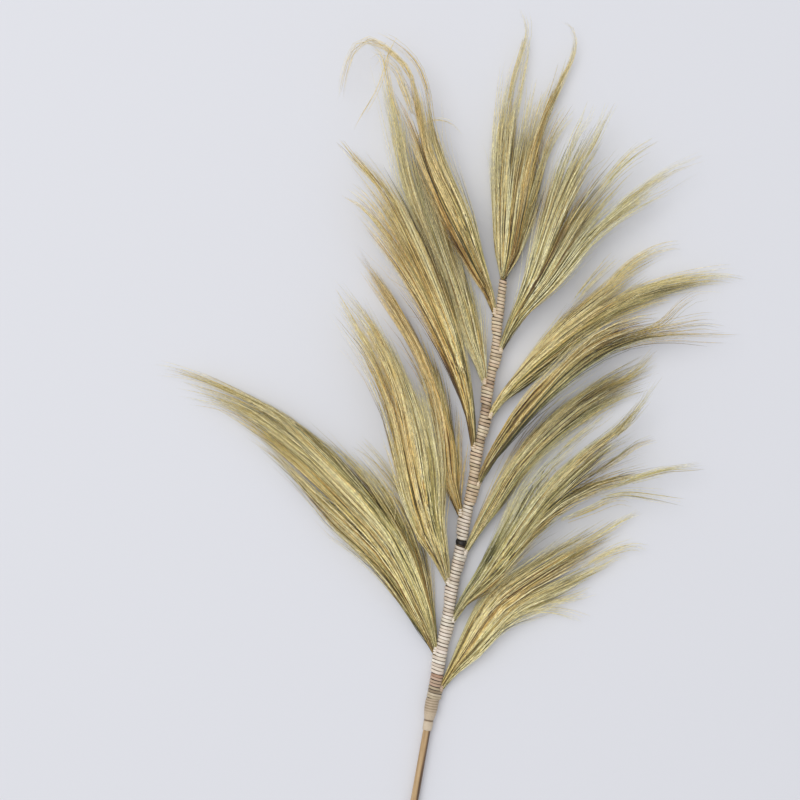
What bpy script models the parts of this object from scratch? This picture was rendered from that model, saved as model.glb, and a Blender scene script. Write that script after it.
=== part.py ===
"""A branch of dried rayung grass: thirteen plumes bound to a cane, laid flat on the ground.

Lengths are in millimetres until a mesh is made, which is in metres. +Z is up, the cane's tip
points along +Y, and the branch's reach is centred on the origin.
"""

import math
import random

import bmesh
import bpy
import numpy as np

MM = 0.001
CENTRE = (13.0, 4.0)  # middle of the branch's reach, which lies over the origin
GAP = 0.35  # between pieces that touch
POCKET_GAP = 0.45  # round a stalk under the binding
SEED = 11
CURVE_STEPS = 30  # steps between two points of a smooth curve, before it is spaced evenly

# The cane lies on its butt end and rises slowly towards the tip.
CANE_LINE = [(99, 286), (86, 170), (68, 59), (47, -60), (24, -180), (1, -310), (-23, -440),
             (-46, -570), (-72, -714)]
CANE_TIP_Y, CANE_BUTT_Y = 266.5, -714.0
CANE_TIP_RADIUS, CANE_BUTT_RADIUS = 4.5, 6.5
CANE_RISE, CANE_BEND = 9.4, 8.1
CANE_SIDES = 8
CANE_RINGS = 22
CANE_SAMPLES = 200  # points kept along its line
CANE_STEP = 2.0  # to either side, to tell which way it runs
CANE_COLOUR, CANE_ROUGHNESS = (0.30, 0.19, 0.09), 0.55

# The binding: split strips in close turns, which start at the tip and end at the sheath.
WRAP_TOP, WRAP_END = 280.0, -394.0
WRAP_TIP_RADIUS, WRAP_END_RADIUS = 6.8, 10.5
TURN = 10.0  # from one turn to the next
TURN_DEPTH = 0.8
BINDING_ROUGHNESS = 0.7
BINDINGS = [
    ("binding_tan", 280.0, -82.0, (0.52, 0.40, 0.26)),
    ("binding_cream_upper", -82.0, -138.0, (0.80, 0.74, 0.62)),
    ("binding_black", -138.0, -147.0, (0.03, 0.025, 0.02)),
    ("binding_cream_lower", -147.0, -354.0, (0.78, 0.71, 0.58)),
    ("binding_brown", -354.0, -394.0, (0.50, 0.36, 0.28)),
]
# The sheath's rings: how far along the cane, and their radius.
SHEATH = [(-445, 7.2), (-443, 7.7), (-431, 7.9), (-429, 7.3), (-427, 7.9), (-421, 9.2),
          (-411, 10.7), (-399, 10.9), (-394.3, 10.3)]
SHEATH_SIDES = 12
SHEATH_REST = -405.0  # where it touches the ground
SHEATH_COLOUR, SHEATH_ROUGHNESS = (0.66, 0.55, 0.42), 0.5
GROUND_BLOCK = 80.0  # cuts a small flat spot under the sheath, which the branch rests on

# Each plume's stalk runs down between cane and binding, and thins towards its end.
STALK_RADIUS, STALK_END_RADIUS = 3.0, 1.6
STALK_DEPTH = 26.0
STALK_STATIONS = (1, 0.55, 0.2)  # shares of its depth, from its end up
STALK_CLEAR = 0.5  # from the cane to a stalk beside it
TIP_STALK_RADIUS, TIP_STALK_DEPTH = 4.0, 13.0
BULGE_WALL = 2.6  # of binding outside a stalk, at the bulge's ridge
BULGE_SHOULDER = 0.84  # of the ridge's reach, an eighth of a turn to either side
BULGE_ABOVE, BULGE_BELOW = 1.0, 2.0  # past the stalk's two ends
NEAR = 40.0  # a plume that leaves the cane this far below a length of binding can touch it

# A plume's depth swells from its stalk to its middle and thins out towards the tips.
# Where these happen is a share of its length.
HALF_DEPTH = 14.0
SWELL_ALONG = 0.35
THIN_BY, THIN_FROM = 0.6, 0.5
STALK_FADE = 0.25  # by then the stalk's own thickness is lost in the plume
LOW, HIGH = 15.0, 50.0  # middle height of a plume that lies on the ground, and on its neighbours
RISE_ALONG = 0.3
TIP_DROP, DROP_FROM = 6.0, 0.6
AHEAD_STEP = 0.02  # to either side, to tell which way the plume runs
GATHER_POWER = 2

# The core of a plume: how far along it, and its size as a share of the plume's own.
CORE = [(0.0, 1.0), (0.03, 1.0), (0.08, 0.9), (0.16, 0.8), (0.28, 0.7), (0.42, 0.6),
        (0.56, 0.45), (0.7, 0.1)]
CORE_SIDES = 10
CORE_GROOVE = 0.25  # depth of the grooves between the core's ribs, as a share of its size
CORE_WIDTH = 0.75  # how much of its share a spreading core takes up across the plume
POCKET_ALONG = 0.12  # of a plume's length, within which it can touch the binding

# The grass heads that stand out of the core.
HEAD_RADIUS, HEAD_TIP_RADIUS = 1.6, 0.55
HEAD_CORNERS = np.radians([90, 210, 330])
HEAD_START, INNER_START = 0.13, 0.4  # on the outside of a plume, and along its inner guides
HEAD_STEPS, INNER_STEPS = 6, 4
HEAD_START_SHARE = 0.35
HEAD_EMERGE = 0.3
# Shorter heads stand round the plume's outside.
HEADS_AROUND, AROUND_STEPS = 10, 5
AROUND_SHARE = 0.93  # of the plume's width
AROUND_REACH = (0.78, 0.97)  # of its length
AROUND_GATHER = 0.3
SAMPLES = 81  # points kept along a guide

STRAW, GREEN, BROWN = (0.62, 0.50, 0.27), (0.48, 0.45, 0.27), (0.46, 0.34, 0.18)
GRASS_ROUGHNESS = 0.9

# name: (where it leaves the binding, side of the cane, height, colour, guides)
# A plume's guides run from its root to its tips, from its left edge to its right.
PLUMES = {
    "plume_tip": (280, 0, LOW, GREEN, [
        [(91, 318), (86, 406), (88, 486), (98, 550), (112, 614), (128, 654), (134, 710), (125, 723)],
        [(98, 318), (102, 438), (112, 534), (125, 598), (138, 646)],
        [(106, 318), (120, 422), (133, 502), (141, 550)],
        [(113, 318), (132, 406), (150, 502), (176, 570), (202, 622), (214, 662), (197, 694)],
        [(120, 318), (135, 358), (150, 406), (169, 482), (189, 534)]]),
    "plume_right_1": (165, 1, HIGH, GREEN, [
        [(133, 278), (165, 390), (197, 486), (237, 554)],
        [(149, 294), (189, 406), (221, 470), (277, 566)],
        [(173, 290), (237, 390), (309, 468)],
        [(189, 278), (253, 358), (317, 406), (381, 454), (437, 474)]]),
    "plume_right_2": (58, 1, LOW, STRAW, [
        [(125, 134), (189, 206), (253, 259), (317, 307), (381, 338)],
        [(157, 166), (221, 218), (325, 294)],
        [(125, 118), (189, 174), (253, 218), (317, 254), (381, 270), (485, 290)],
        [(141, 118), (189, 158), (253, 206), (317, 242)]]),
    "plume_right_3": (-51, 1, HIGH, GREEN, [
        [(93, 30), (125, 78), (189, 142), (253, 198), (317, 218), (357, 224), (413, 259)],
        [(93, 10), (157, 94), (221, 158), (285, 190), (349, 206), (397, 206)],
        [(109, 22), (157, 78), (221, 134), (285, 174), (349, 190), (413, 190), (493, 182)]]),
    "plume_right_4": (-162, 1, LOW, GREEN, [
        [(53, -122), (93, -42), (157, 42), (189, 70), (253, 118), (349, 166)],
        [(77, -98), (125, -18), (189, 46), (253, 94), (309, 122), (365, 142)],
        [(93, -86), (141, -18), (189, 27), (253, 74), (317, 102), (381, 122)]]),
    "plume_right_5": (-270, 1, HIGH, GREEN, [
        [(61, -186), (93, -130), (157, -26), (189, -2), (237, 38), (285, 94)],
        [(61, -210), (125, -114), (189, -34), (253, 22), (301, 54), (333, 110), (352, 134)],
        [(93, -178), (157, -90), (221, -26), (277, 18), (357, 35)],
        [(93, -184), (157, -105), (221, -61), (285, -40), (413, -22)],
        [(93, -194), (157, -122), (213, -82), (253, -58)]]),
    "plume_right_6": (-381, 1, LOW, STRAW, [
        [(13, -346), (45, -274), (77, -224), (157, -170), (221, -130), (293, -98)],
        [(37, -322), (93, -240), (157, -194), (237, -148), (317, -106)],
        [(61, -314), (125, -248), (189, -218), (253, -186), (317, -154)],
        [(61, -322), (101, -275), (157, -248), (221, -212), (285, -176)]]),
    "plume_left_6": (-325, -1, LOW, STRAW, [
        [(-35, -282), (-99, -186), (-195, -90), (-259, -12), (-323, 46)],
        [(-43, -240), (-91, -146), (-163, -66), (-227, -2), (-355, 86), (-467, 134)],
        [(-27, -234), (-67, -146), (-107, -82), (-163, -26), (-291, 86), (-355, 110), (-467, 134)],
        [(-19, -240), (-35, -170), (-75, -74), (-147, 22), (-163, 62)]]),
    "plume_left_5": (-211, -1, HIGH, STRAW, [
        [(-35, -130), (-59, -58), (-75, 22), (-91, 86), (-115, 142), (-179, 246)],
        [(-19, -122), (-38, -42), (-67, 102), (-91, 166), (-123, 222), (-182, 286)],
        [(-12, -106), (-26, 6), (-51, 92), (-91, 182), (-131, 262)],
        [(0, -106), (-2, -26), (-13, 38), (-43, 166)]]),
    "plume_left_4": (-103, -1, LOW, BROWN, [
        [(8, -53), (0, 5), (-7, 50), (-29, 126), (-59, 190), (-123, 286)],
        [(16, -53), (10, 6), (-3, 86), (-19, 134), (-67, 230), (-123, 310), (-171, 374)],
        [(25, -53), (25, -14), (17, 30), (8, 86), (-3, 134), (-16, 190)]]),
    "plume_left_3": (6, -1, HIGH, STRAW, [
        [(32, 86), (13, 134), (-27, 222), (-75, 302), (-147, 398)],
        [(38, 102), (21, 166), (-19, 270), (-67, 374), (-91, 422), (-123, 462), (-171, 518)],
        [(44, 110), (32, 166), (-11, 294), (-59, 398), (-99, 470)]]),
    "plume_left_2": (109, -1, LOW, GREEN, [
        [(37, 182), (13, 246), (-11, 310), (-59, 422), (-86, 550), (-107, 646)],
        [(45, 198), (29, 262), (13, 310), (-19, 406), (-51, 534)],
        [(60, 198), (50, 246), (37, 294), (21, 342)]]),
    "plume_left_1": (222, -1, HIGH, BROWN, [
        [(45, 294), (13, 350), (-11, 406), (-51, 502), (-94, 630)],
        [(53, 310), (21, 382), (-27, 486), (-43, 582), (-59, 622), (-91, 650), (-123, 662),
         (-147, 638), (-158, 598)],
        [(64, 310), (45, 374), (-3, 486), (-24, 566), (-51, 646), (-75, 666), (-115, 668),
         (-147, 654)]]),
}


def curve_through(points, count, skip=0):
    """Points evenly spaced on a smooth curve through the given ones, after the first few."""
    points = np.array(points, float)
    steps = np.linalg.norm(np.diff(points, axis=0), axis=1)
    knots = np.concatenate([[0], np.cumsum(steps)])
    slopes = np.gradient(points, knots, axis=0)
    fine = np.linspace(knots[skip], knots[-1], CURVE_STEPS * len(points))
    i = np.clip(np.searchsorted(knots, fine, side="right") - 1, 0, len(steps) - 1)
    width = steps[i][:, None]
    u = (fine - knots[i])[:, None] / width
    dense = ((2 * u**3 - 3 * u**2 + 1) * points[i] + (3 * u**2 - 2 * u**3) * points[i + 1]
             + (u**3 - 2 * u**2 + u) * width * slopes[i] + (u**3 - u**2) * width * slopes[i + 1])
    run = np.concatenate([[0], np.cumsum(np.linalg.norm(np.diff(dense, axis=0), axis=1))])
    even = np.linspace(0, run[-1], count)
    return np.column_stack([np.interp(even, run, column) for column in dense.T])


def ease(x):
    """0 to 1 with soft ends, as x goes from 0 to 1."""
    x = np.clip(x, 0, 1)
    return x * x * (3 - 2 * x)


def unit(v):
    """The vector at a length of 1."""
    return v / np.linalg.norm(v)


CANE_PATH = curve_through(CANE_LINE, CANE_SAMPLES)[::-1]


def cane_share(y):
    """0 at the cane's butt and 1 where the binding starts at its tip."""
    return (y - CANE_BUTT_Y) / (WRAP_TOP - CANE_BUTT_Y)


def cane_at(y):
    """The middle of the cane at y."""
    t = cane_share(y)
    x = np.interp(y, CANE_PATH[:, 1], CANE_PATH[:, 0])
    return np.array([x, y, CANE_BUTT_RADIUS + CANE_RISE * t + CANE_BEND * t * t])


def cane_frame(y):
    """Along the cane towards its tip, to its right, and up, at y."""
    along = unit(cane_at(y + CANE_STEP) - cane_at(y - CANE_STEP))
    right = unit(np.cross(along, (0, 0, 1)))
    return along, right, np.cross(right, along)


def cane_radius(y):
    """The cane's radius at y."""
    return CANE_BUTT_RADIUS + (CANE_TIP_RADIUS - CANE_BUTT_RADIUS) * cane_share(y)


def turned_ring(y, radii, centre=None):
    """Points round the cane's line at y, one for each radius."""
    _, right, up = cane_frame(y)
    centre = cane_at(y) if centre is None else centre
    angles = np.linspace(0, 2 * math.pi, len(radii), endpoint=False)
    return [centre + r * (math.cos(a) * right + math.sin(a) * up) for r, a in zip(radii, angles)]


class Plume:
    """Where the grass heads of one plume lie."""

    def __init__(self, root_y, side, height, guides):
        self.root_y, self.side, self.height = root_y, side, height
        self.radius = STALK_RADIUS if side else TIP_STALK_RADIUS
        self.depth = STALK_DEPTH if side else TIP_STALK_DEPTH
        self.root = self.stalk_at(0)
        start = [self.stalk_at(self.depth / 2)[:2], self.root[:2]]
        self.guides = np.array([curve_through(start + g, SAMPLES, skip=1) for g in guides])

    def stalk_radius(self, below):
        """The stalk's radius this far below the root, under the binding."""
        if not self.side:
            return self.radius
        return self.radius + (STALK_END_RADIUS - self.radius) * below / self.depth

    def stalk_at(self, below):
        """The stalk's middle this far below the root, beside the cane."""
        y = self.root_y - below
        _, right, _ = cane_frame(y)
        offset = cane_radius(y) + STALK_CLEAR + self.stalk_radius(below)
        return cane_at(y) + right * self.side * offset

    def on_guides(self, place, along):
        """Points between the guides, at this place across them and this share of their length."""
        low = np.clip(np.floor(place).astype(int), 0, len(self.guides) - 2)
        i = np.clip(along * (SAMPLES - 1), 0, SAMPLES - 1.001)
        j = i.astype(int)
        mix, step = (place - low)[:, None], (i - j)[:, None]
        left = self.guides[low, j] * (1 - step) + self.guides[low, j + 1] * step
        right = self.guides[low + 1, j] * (1 - step) + self.guides[low + 1, j + 1] * step
        return left * (1 - mix) + right * mix

    def at(self, across, up, along, gather=0.0):
        """Points at -1 to 1 across, -1 to 1 in depth and 0 to 1 along the plume.

        gather draws a point to its nearest guide, more so towards the tips.
        """
        across, up, along = (np.atleast_1d(np.asarray(v, float)) for v in (across, up, along))
        across, up, along = np.broadcast_arrays(across, up, along)
        place = (across + 1) / 2 * (len(self.guides) - 1)
        place = place + (np.round(place) - place) * gather * along**GATHER_POWER
        flat = self.on_guides(place, along)
        middle = np.full_like(along, (len(self.guides) - 1) / 2)
        ahead = self.on_guides(middle, along + AHEAD_STEP) - self.on_guides(middle, along - AHEAD_STEP)
        ahead /= np.linalg.norm(ahead, axis=1)[:, None]
        stalk = self.radius * (1 - ease(along / STALK_FADE))
        flat = flat + np.column_stack([ahead[:, 1], -ahead[:, 0]]) * (stalk * across)[:, None]
        thin = 1 - THIN_BY * ease((along - THIN_FROM) / (1 - THIN_FROM))
        swell = HALF_DEPTH * ease(along / SWELL_ALONG) * thin
        z = self.root[2] + (self.height - self.root[2]) * ease(along / RISE_ALONG)
        if self.height == HIGH:
            z = z - TIP_DROP * ease((along - DROP_FROM) / (1 - DROP_FROM))
        return np.column_stack([flat, z + up * (stalk + swell)])


def link(obj, collection, colour, roughness):
    """Puts the object in the collection, with a material of its own."""
    collection.objects.link(obj)
    material = bpy.data.materials.new(obj.name)
    material.use_nodes = True
    shader = material.node_tree.nodes["Principled BSDF"]
    shader.inputs["Base Color"].default_value = (*colour, 1)
    shader.inputs["Roughness"].default_value = roughness
    obj.data.materials.append(material)


def loft(name, rings):
    """A closed solid through rings of equally many points, given in millimetres.

    Each ring goes from the right over the top, and the rings go forwards, towards the tip.
    """
    bm = bmesh.new()
    rows = [[bm.verts.new((np.array(p) - (*CENTRE, 0)) * MM) for p in ring] for ring in rings]
    for row, after in zip(rows, rows[1:]):
        for k in range(len(row)):
            m = (k + 1) % len(row)
            bm.faces.new((row[k], after[k], after[m], row[m]))
    bm.faces.new(rows[0])
    bm.faces.new(rows[-1][::-1])
    bmesh.ops.triangulate(bm, faces=bm.faces)
    mesh = bpy.data.meshes.new(name)
    bm.to_mesh(mesh)
    bm.free()
    return bpy.data.objects.new(name, mesh)


def combine(obj, others, operation):
    """One Boolean of the object with all the others, which are then removed."""
    tools = bpy.data.collections.new(obj.name + "_tools")
    bpy.context.scene.collection.children.link(tools)
    for other in others:
        tools.objects.link(other)
    step = obj.modifiers.new("combine", "BOOLEAN")
    step.operand_type = "COLLECTION"
    step.collection = tools
    step.operation = operation
    step.solver = "MANIFOLD"
    depsgraph = bpy.context.evaluated_depsgraph_get()
    mesh = bpy.data.meshes.new_from_object(obj.evaluated_get(depsgraph))
    obj.modifiers.remove(step)
    obj.data = mesh
    for other in others:
        bpy.data.objects.remove(other)
    bpy.data.collections.remove(tools)


def cane(name, spare=0.0):
    """The cane, or with some spare its clearance."""
    stations = np.linspace(CANE_BUTT_Y - spare, CANE_TIP_Y + spare, CANE_RINGS)
    return loft(name, [turned_ring(y, [cane_radius(y) + spare] * CANE_SIDES) for y in stations])


def stalk_rings(plume, spare=0.0):
    """The stretch of stalk under the binding, from its end up."""
    rings = []
    for share in STALK_STATIONS:
        below = plume.depth * share
        y = plume.root_y - below
        beyond = cane_frame(y)[0] * spare if share == 1 else 0
        radius = plume.stalk_radius(below) + spare
        rings.append(turned_ring(y, [radius] * CORE_SIDES, plume.stalk_at(below) - beyond))
    return rings


def core_rings(plume, stations, spare=0.0):
    """The core's rings at these stations, from the root on."""
    angles = np.linspace(0, 2 * math.pi, CORE_SIDES, endpoint=False)
    rings = []
    for along, share in stations:
        reach = share * (1 - CORE_GROOVE * (np.arange(CORE_SIDES) % 2) * (along > POCKET_ALONG))
        width = 1 + (CORE_WIDTH - 1) * ease(along / RISE_ALONG)
        ring = plume.at(width * reach * np.cos(angles), reach * np.sin(angles), along)
        middle = ring.mean(axis=0)
        out = ring - middle
        rings.append(ring + out / np.linalg.norm(out, axis=1)[:, None] * spare)
    return rings


def pocket(plume):
    """What a plume needs clear in the binding."""
    near = [station for station in CORE if station[0] < POCKET_ALONG]
    return loft("pocket", stalk_rings(plume, POCKET_GAP) + core_rings(plume, near, POCKET_GAP))


def head(plume, across, up, start, end, gather, steps):
    """One grass head: a three-sided needle from inside the core out to its tip."""
    along = np.linspace(start, end, steps + 1)
    share = HEAD_START_SHARE + (1 - HEAD_START_SHARE) * ease((along - start) / HEAD_EMERGE)
    line = plume.at(across * share, up * share, along, gather)
    radii = HEAD_RADIUS + (HEAD_TIP_RADIUS - HEAD_RADIUS) * along
    line[:, 2] = np.maximum(line[:, 2], radii)
    rings = []
    for k, radius in enumerate(radii):
        ahead = unit(line[min(k + 1, steps)] - line[max(k - 1, 0)])
        right = unit(np.cross(ahead, (0, 0, 1)))
        above = np.cross(right, ahead)
        rings.append([line[k] + radius * (math.cos(a) * right + math.sin(a) * above)
                      for a in HEAD_CORNERS])
    return loft("head", rings)


def heads_of(plume, draw):
    """A head along each guide, out to its tip, and shorter ones round the plume's outside."""
    heads = []
    for across in np.linspace(-1, 1, len(plume.guides)):
        outer = abs(across) == 1
        start, steps = (HEAD_START, HEAD_STEPS) if outer else (INNER_START, INNER_STEPS)
        heads.append(head(plume, across, 0, start, 1.0, 1.0, steps))
    for k in range(HEADS_AROUND):
        angle = 2 * math.pi * (k + 0.5) / HEADS_AROUND
        end = draw.uniform(*AROUND_REACH)
        heads.append(head(plume, AROUND_SHARE * math.cos(angle), math.sin(angle), HEAD_START, end,
                          AROUND_GATHER, AROUND_STEPS))
    return heads


def wrap_radii(y, sides, plumes, groove):
    """The binding's radius at y, for each side, with a bulge over every stalk beneath."""
    t = (WRAP_TOP - y) / (WRAP_TOP - WRAP_END)
    radii = np.full(sides, WRAP_TIP_RADIUS + (WRAP_END_RADIUS - WRAP_TIP_RADIUS) * t)
    for plume in plumes:
        below = plume.root_y - y
        if plume.side and -BULGE_ABOVE <= below <= plume.depth + BULGE_BELOW:
            ridge = cane_radius(y) + 2 * plume.stalk_radius(min(below, plume.depth)) + BULGE_WALL
            top = 0 if plume.side > 0 else sides // 2
            radii[top] = max(radii[top], ridge)
            for k in (top - 1, top + 1):
                radii[k % sides] = max(radii[k % sides], ridge * BULGE_SHOULDER)
    return radii - TURN_DEPTH * groove


def binding(name, top, end, plumes):
    """One length of the binding: a ridge for each turn."""
    turns = round((top - end) / TURN)
    stations = np.linspace(end + GAP / 2, top - GAP / 2, 2 * turns + 1)
    return loft(name, [turned_ring(y, wrap_radii(y, CANE_SIDES, plumes, k % 2 == 0))
                       for k, y in enumerate(stations)])


def ground_under(y):
    """A block with its top at ground level, under the cane at y."""
    bm = bmesh.new()
    bmesh.ops.create_cube(bm, size=GROUND_BLOCK * MM)
    mesh = bpy.data.meshes.new("ground")
    bm.to_mesh(mesh)
    bm.free()
    block = bpy.data.objects.new("ground", mesh)
    x, y, _ = cane_at(y)
    block.location = ((x - CENTRE[0]) * MM, (y - CENTRE[1]) * MM, -GROUND_BLOCK / 2 * MM)
    return block


def main():
    """Builds the branch in a collection of its own."""
    for old in list(bpy.data.objects):
        bpy.data.objects.remove(old)
    branch = bpy.data.collections.new("rayung_grass_bundle")
    bpy.context.scene.collection.children.link(branch)

    plumes = {name: Plume(y, side, height, guides)
              for name, (y, side, height, _, guides) in PLUMES.items()}

    link(cane("cane"), branch, CANE_COLOUR, CANE_ROUGHNESS)
    for name, top, end, colour in BINDINGS:
        body = binding(name, top, end, plumes.values())
        link(body, branch, colour, BINDING_ROUGHNESS)
        near = [p for p in plumes.values() if end - NEAR < p.root_y < top + p.depth]
        combine(body, [cane("bore", GAP)] + [pocket(p) for p in near], "DIFFERENCE")
    body = loft("sheath", [turned_ring(y, [r] * SHEATH_SIDES) for y, r in SHEATH])
    link(body, branch, SHEATH_COLOUR, SHEATH_ROUGHNESS)
    near = [p for p in plumes.values() if p.root_y < SHEATH[-1][0] + p.depth]
    cutters = [ground_under(SHEATH_REST), cane("bore", GAP)] + [pocket(p) for p in near]
    combine(body, cutters, "DIFFERENCE")

    draw = random.Random(SEED)
    for name, plume in plumes.items():
        body = loft(name, stalk_rings(plume) + core_rings(plume, CORE))
        link(body, branch, PLUMES[name][3], GRASS_ROUGHNESS)
        combine(body, heads_of(plume, draw), "UNION")


main()
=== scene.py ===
"""The looks of a branch of dried rayung grass: plumes of fine grass heads, wound strips and a cane.

Lengths are in millimetres until a mesh is made, which is in metres. +Z is up and the cane's tip
points along +Y. The cane's line, the binding and the plumes' guides are those of the solids.
A tone is three numbers of 0 to 1: how warm it is, how light, and in grass one of the strand's own.
"""

import functools
import math

import bpy
import numpy as np
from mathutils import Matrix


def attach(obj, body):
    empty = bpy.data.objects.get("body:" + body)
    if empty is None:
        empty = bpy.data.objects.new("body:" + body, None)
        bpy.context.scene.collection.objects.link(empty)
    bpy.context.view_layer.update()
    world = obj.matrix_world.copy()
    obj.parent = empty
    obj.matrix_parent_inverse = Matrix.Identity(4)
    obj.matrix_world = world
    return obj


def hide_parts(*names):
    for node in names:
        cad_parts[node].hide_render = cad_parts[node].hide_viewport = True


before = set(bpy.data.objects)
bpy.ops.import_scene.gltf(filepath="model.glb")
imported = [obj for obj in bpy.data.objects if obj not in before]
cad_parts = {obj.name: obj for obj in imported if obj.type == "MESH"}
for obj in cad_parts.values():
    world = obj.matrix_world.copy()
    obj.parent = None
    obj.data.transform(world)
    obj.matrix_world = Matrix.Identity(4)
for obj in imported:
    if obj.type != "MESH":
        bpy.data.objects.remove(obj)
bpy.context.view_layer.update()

MM = 0.001
CENTRE = (13.0, 4.0, 0.0)  # middle of the branch's reach, which lies over the origin
CURVE_STEPS = 30  # steps between two points of a smooth curve, before it is spaced evenly
PLUME_SEED, BINDING_SEED, SHEATH_SEED = 100, 200, 300

# The cane lies on its butt end and rises slowly towards the tip.
CANE_LINE = [(99, 286), (86, 170), (68, 59), (47, -60), (24, -180), (1, -310), (-23, -440),
             (-46, -570), (-72, -714)]
CANE_SAMPLES = 200  # points kept along its line
CANE_STEP = 2.0  # to either side, to tell which way it runs
CANE_TIP_Y, CANE_BUTT_Y = 266.5, -714.0
CANE_TIP_RADIUS, CANE_BUTT_RADIUS = 4.5, 6.5
CANE_RISE, CANE_BEND = 9.4, 8.1
CANE_SIDES, CANE_RINGS = 32, 200
CANE_BEVEL = 0.5
CANE_NODE_Y, CANE_NODE_HEIGHT, CANE_NODE_LENGTH = -612.0, 0.45, 3.0
NODE_SHADE, NODE_LINE = 0.25, 1.5
CANE_WAVER = 0.12  # how far the cane's skin strays from round
WAVER_TURN, WAVER_FADE = 60.0, 37.0  # how far along it that turns, and fades, by a radian
CANE_LIGHT = 0.58
# Streaks: depth, how many lie round the cane, and how far along it they turn by a radian.
CANE_STREAKS = [(0.09, 3, 31.0), (0.08, 5, -17.0)]
CANE_SHADE, CANE_SHADED_SIDE = 0.46, 0.15  # painted shade on its side away from the light, and the angle of that side from its right towards the top
CANE_SHADE_EDGE, CANE_SHADE_FADE = 0.25, 0.5  # where that painted shade starts and how it grows, as cosines

# The binding, from the tip down: split strips in close turns.
WRAP_TOP, WRAP_END = 280.0, -394.0
WRAP_TIP_RADIUS, WRAP_END_RADIUS = 6.8, 10.5
PITCH, BLACK_PITCH, FINE_PITCH = 5.55, 8.0, 5.0
# Each length's name, where it starts and ends, its pitch and its material slot.
BINDINGS = [
    ("tan", WRAP_TOP, -82.0, PITCH, "winding_tan"),
    ("cream_upper", -82.0, -138.0, PITCH, "winding_cream"),
    ("black", -138.0, -147.0, BLACK_PITCH, "winding_black"),
    ("cream_lower", -147.0, -354.0, PITCH, "winding_cream"),
    ("brown", -354.0, WRAP_END, FINE_PITCH, "winding_brown"),
]
STRIP_WIDTH, STRIP_THICK = 0.88, 1.5  # its width is a share of the pitch
STRIP_STEPS = 26  # stations in each turn
# A strip's section: share of its half width, and of its thickness.
STRIP_SECTION = [(-0.85, -0.5), (-1.0, 0.1), (-0.68, 0.78), (0.0, 1.0), (0.68, 0.78), (1.0, 0.1),
                 (0.85, -0.5)]
TURN_START, TURN_CLEAR = 0.2, 0.45  # kept from the ends of its length, as shares of the pitch
# How uneven the turns are: the size of each drift, and the angle over which it changes.
TURN_DRIFT, TURN_LIFT, WIDTH_DRIFT = (0.2, 2.1), (0.12, 1.7), (0.05, 2.6)
WARM_DRIFT, LIGHT_DRIFT = (0.28, 5.5), (0.12, 4.7)
PLAIN_WARM, STRIP_LIGHT = 0.5, 0.58
DARK_TURNS_Y, DARK_TURNS_REACH = 72.0, 10.0
DARK_TURNS_WARM, DARK_TURNS_SHADE = 0.3, 0.16
PINK_END = -376.0  # the fine turns below are beige
SLEEVE_SIDES, SLEEVE_STEP, SLEEVE_LEAST = 24, 4.0, 3
SLEEVE_DEPTH, SLEEVE_END = 1.15, 0.6
# The sleeve takes a strip's darkest shade: painted shade for the gaps between the turns.
GAP_SHADE_TONE = (0.5, 0.0, 0.5)
STALK_WALL = 2.1  # of binding outside a stalk
BULGE_ABOVE, BULGE_FADE = 2.0, 5.0  # its start above a plume's root, and the length it swells over
LEAST_COSINE = 0.2  # keeps the straight side of a belt finite
COLLAR_TURNS, COLLAR_START, COLLAR_LENGTH, COLLAR_WALL = 2.3, 1.5, 7.5, 1.6
COLLAR_WIDTH, COLLAR_LIGHT = 3.8, 0.72
COLLAR_LIFT, COLLAR_DRIFT = (0.15, 1.7), (0.1, 3.1)

# The sheath's rings: how far along the cane, and their radius.
SHEATH = [(-445, 7.2), (-443, 7.7), (-431, 7.9), (-429, 7.3), (-427, 7.9), (-421, 9.2),
          (-411, 10.7), (-399, 10.9), (-394.3, 10.3)]
SHEATH_SIDES, SHEATH_STEP, SMOOTHINGS = 48, 1.0, 2
# Fine ridges and the shade between them, from this far above its lower end.
RIDGE_PITCH, RIDGE_HEIGHT, RIDGE_START = 4.2, 0.16, 20.0
CREASE_SHADE, CREASE_START, CREASE_FADE = 0.3, 24.0, 12.0
SHEATH_UNEVEN, SHEATH_FLATS = 0.08, 0.1  # from ring to ring, and round it
SHEATH_LIGHT = 0.52
RING_SHADE, RING_Y, RING_WIDTH = 0.52, -429.0, 1.2
CUFF_LIGHT, CUFF_TOP = 0.14, -431.0

# Each plume's stalk runs down between cane and binding.
STALK_RADIUS, STALK_END_RADIUS, STALK_DEPTH = 3.0, 1.6, 26.0
STALK_CLEAR = 0.5
TIP_STALK_RADIUS, TIP_STALK_DEPTH = 4.0, 13.0

# A plume's depth swells from its stalk to its middle and thins out towards the tips. Where that
# starts or ends is a share of the plume's length.
HALF_DEPTH, SWELL_ALONG = 14.0, 0.35
THIN_BY, THIN_FROM = 0.6, 0.5
STALK_FADE = 0.25
LOW, HIGH = 15.0, 50.0
RISE_ALONG = 0.3
TIP_DROP, DROP_FROM = 6.0, 0.6
AHEAD_STEP = 0.02  # to either side, to tell which way a plume runs
GATHER_POWER = 1.4
SAMPLES = 81  # points kept along a guide

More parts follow.
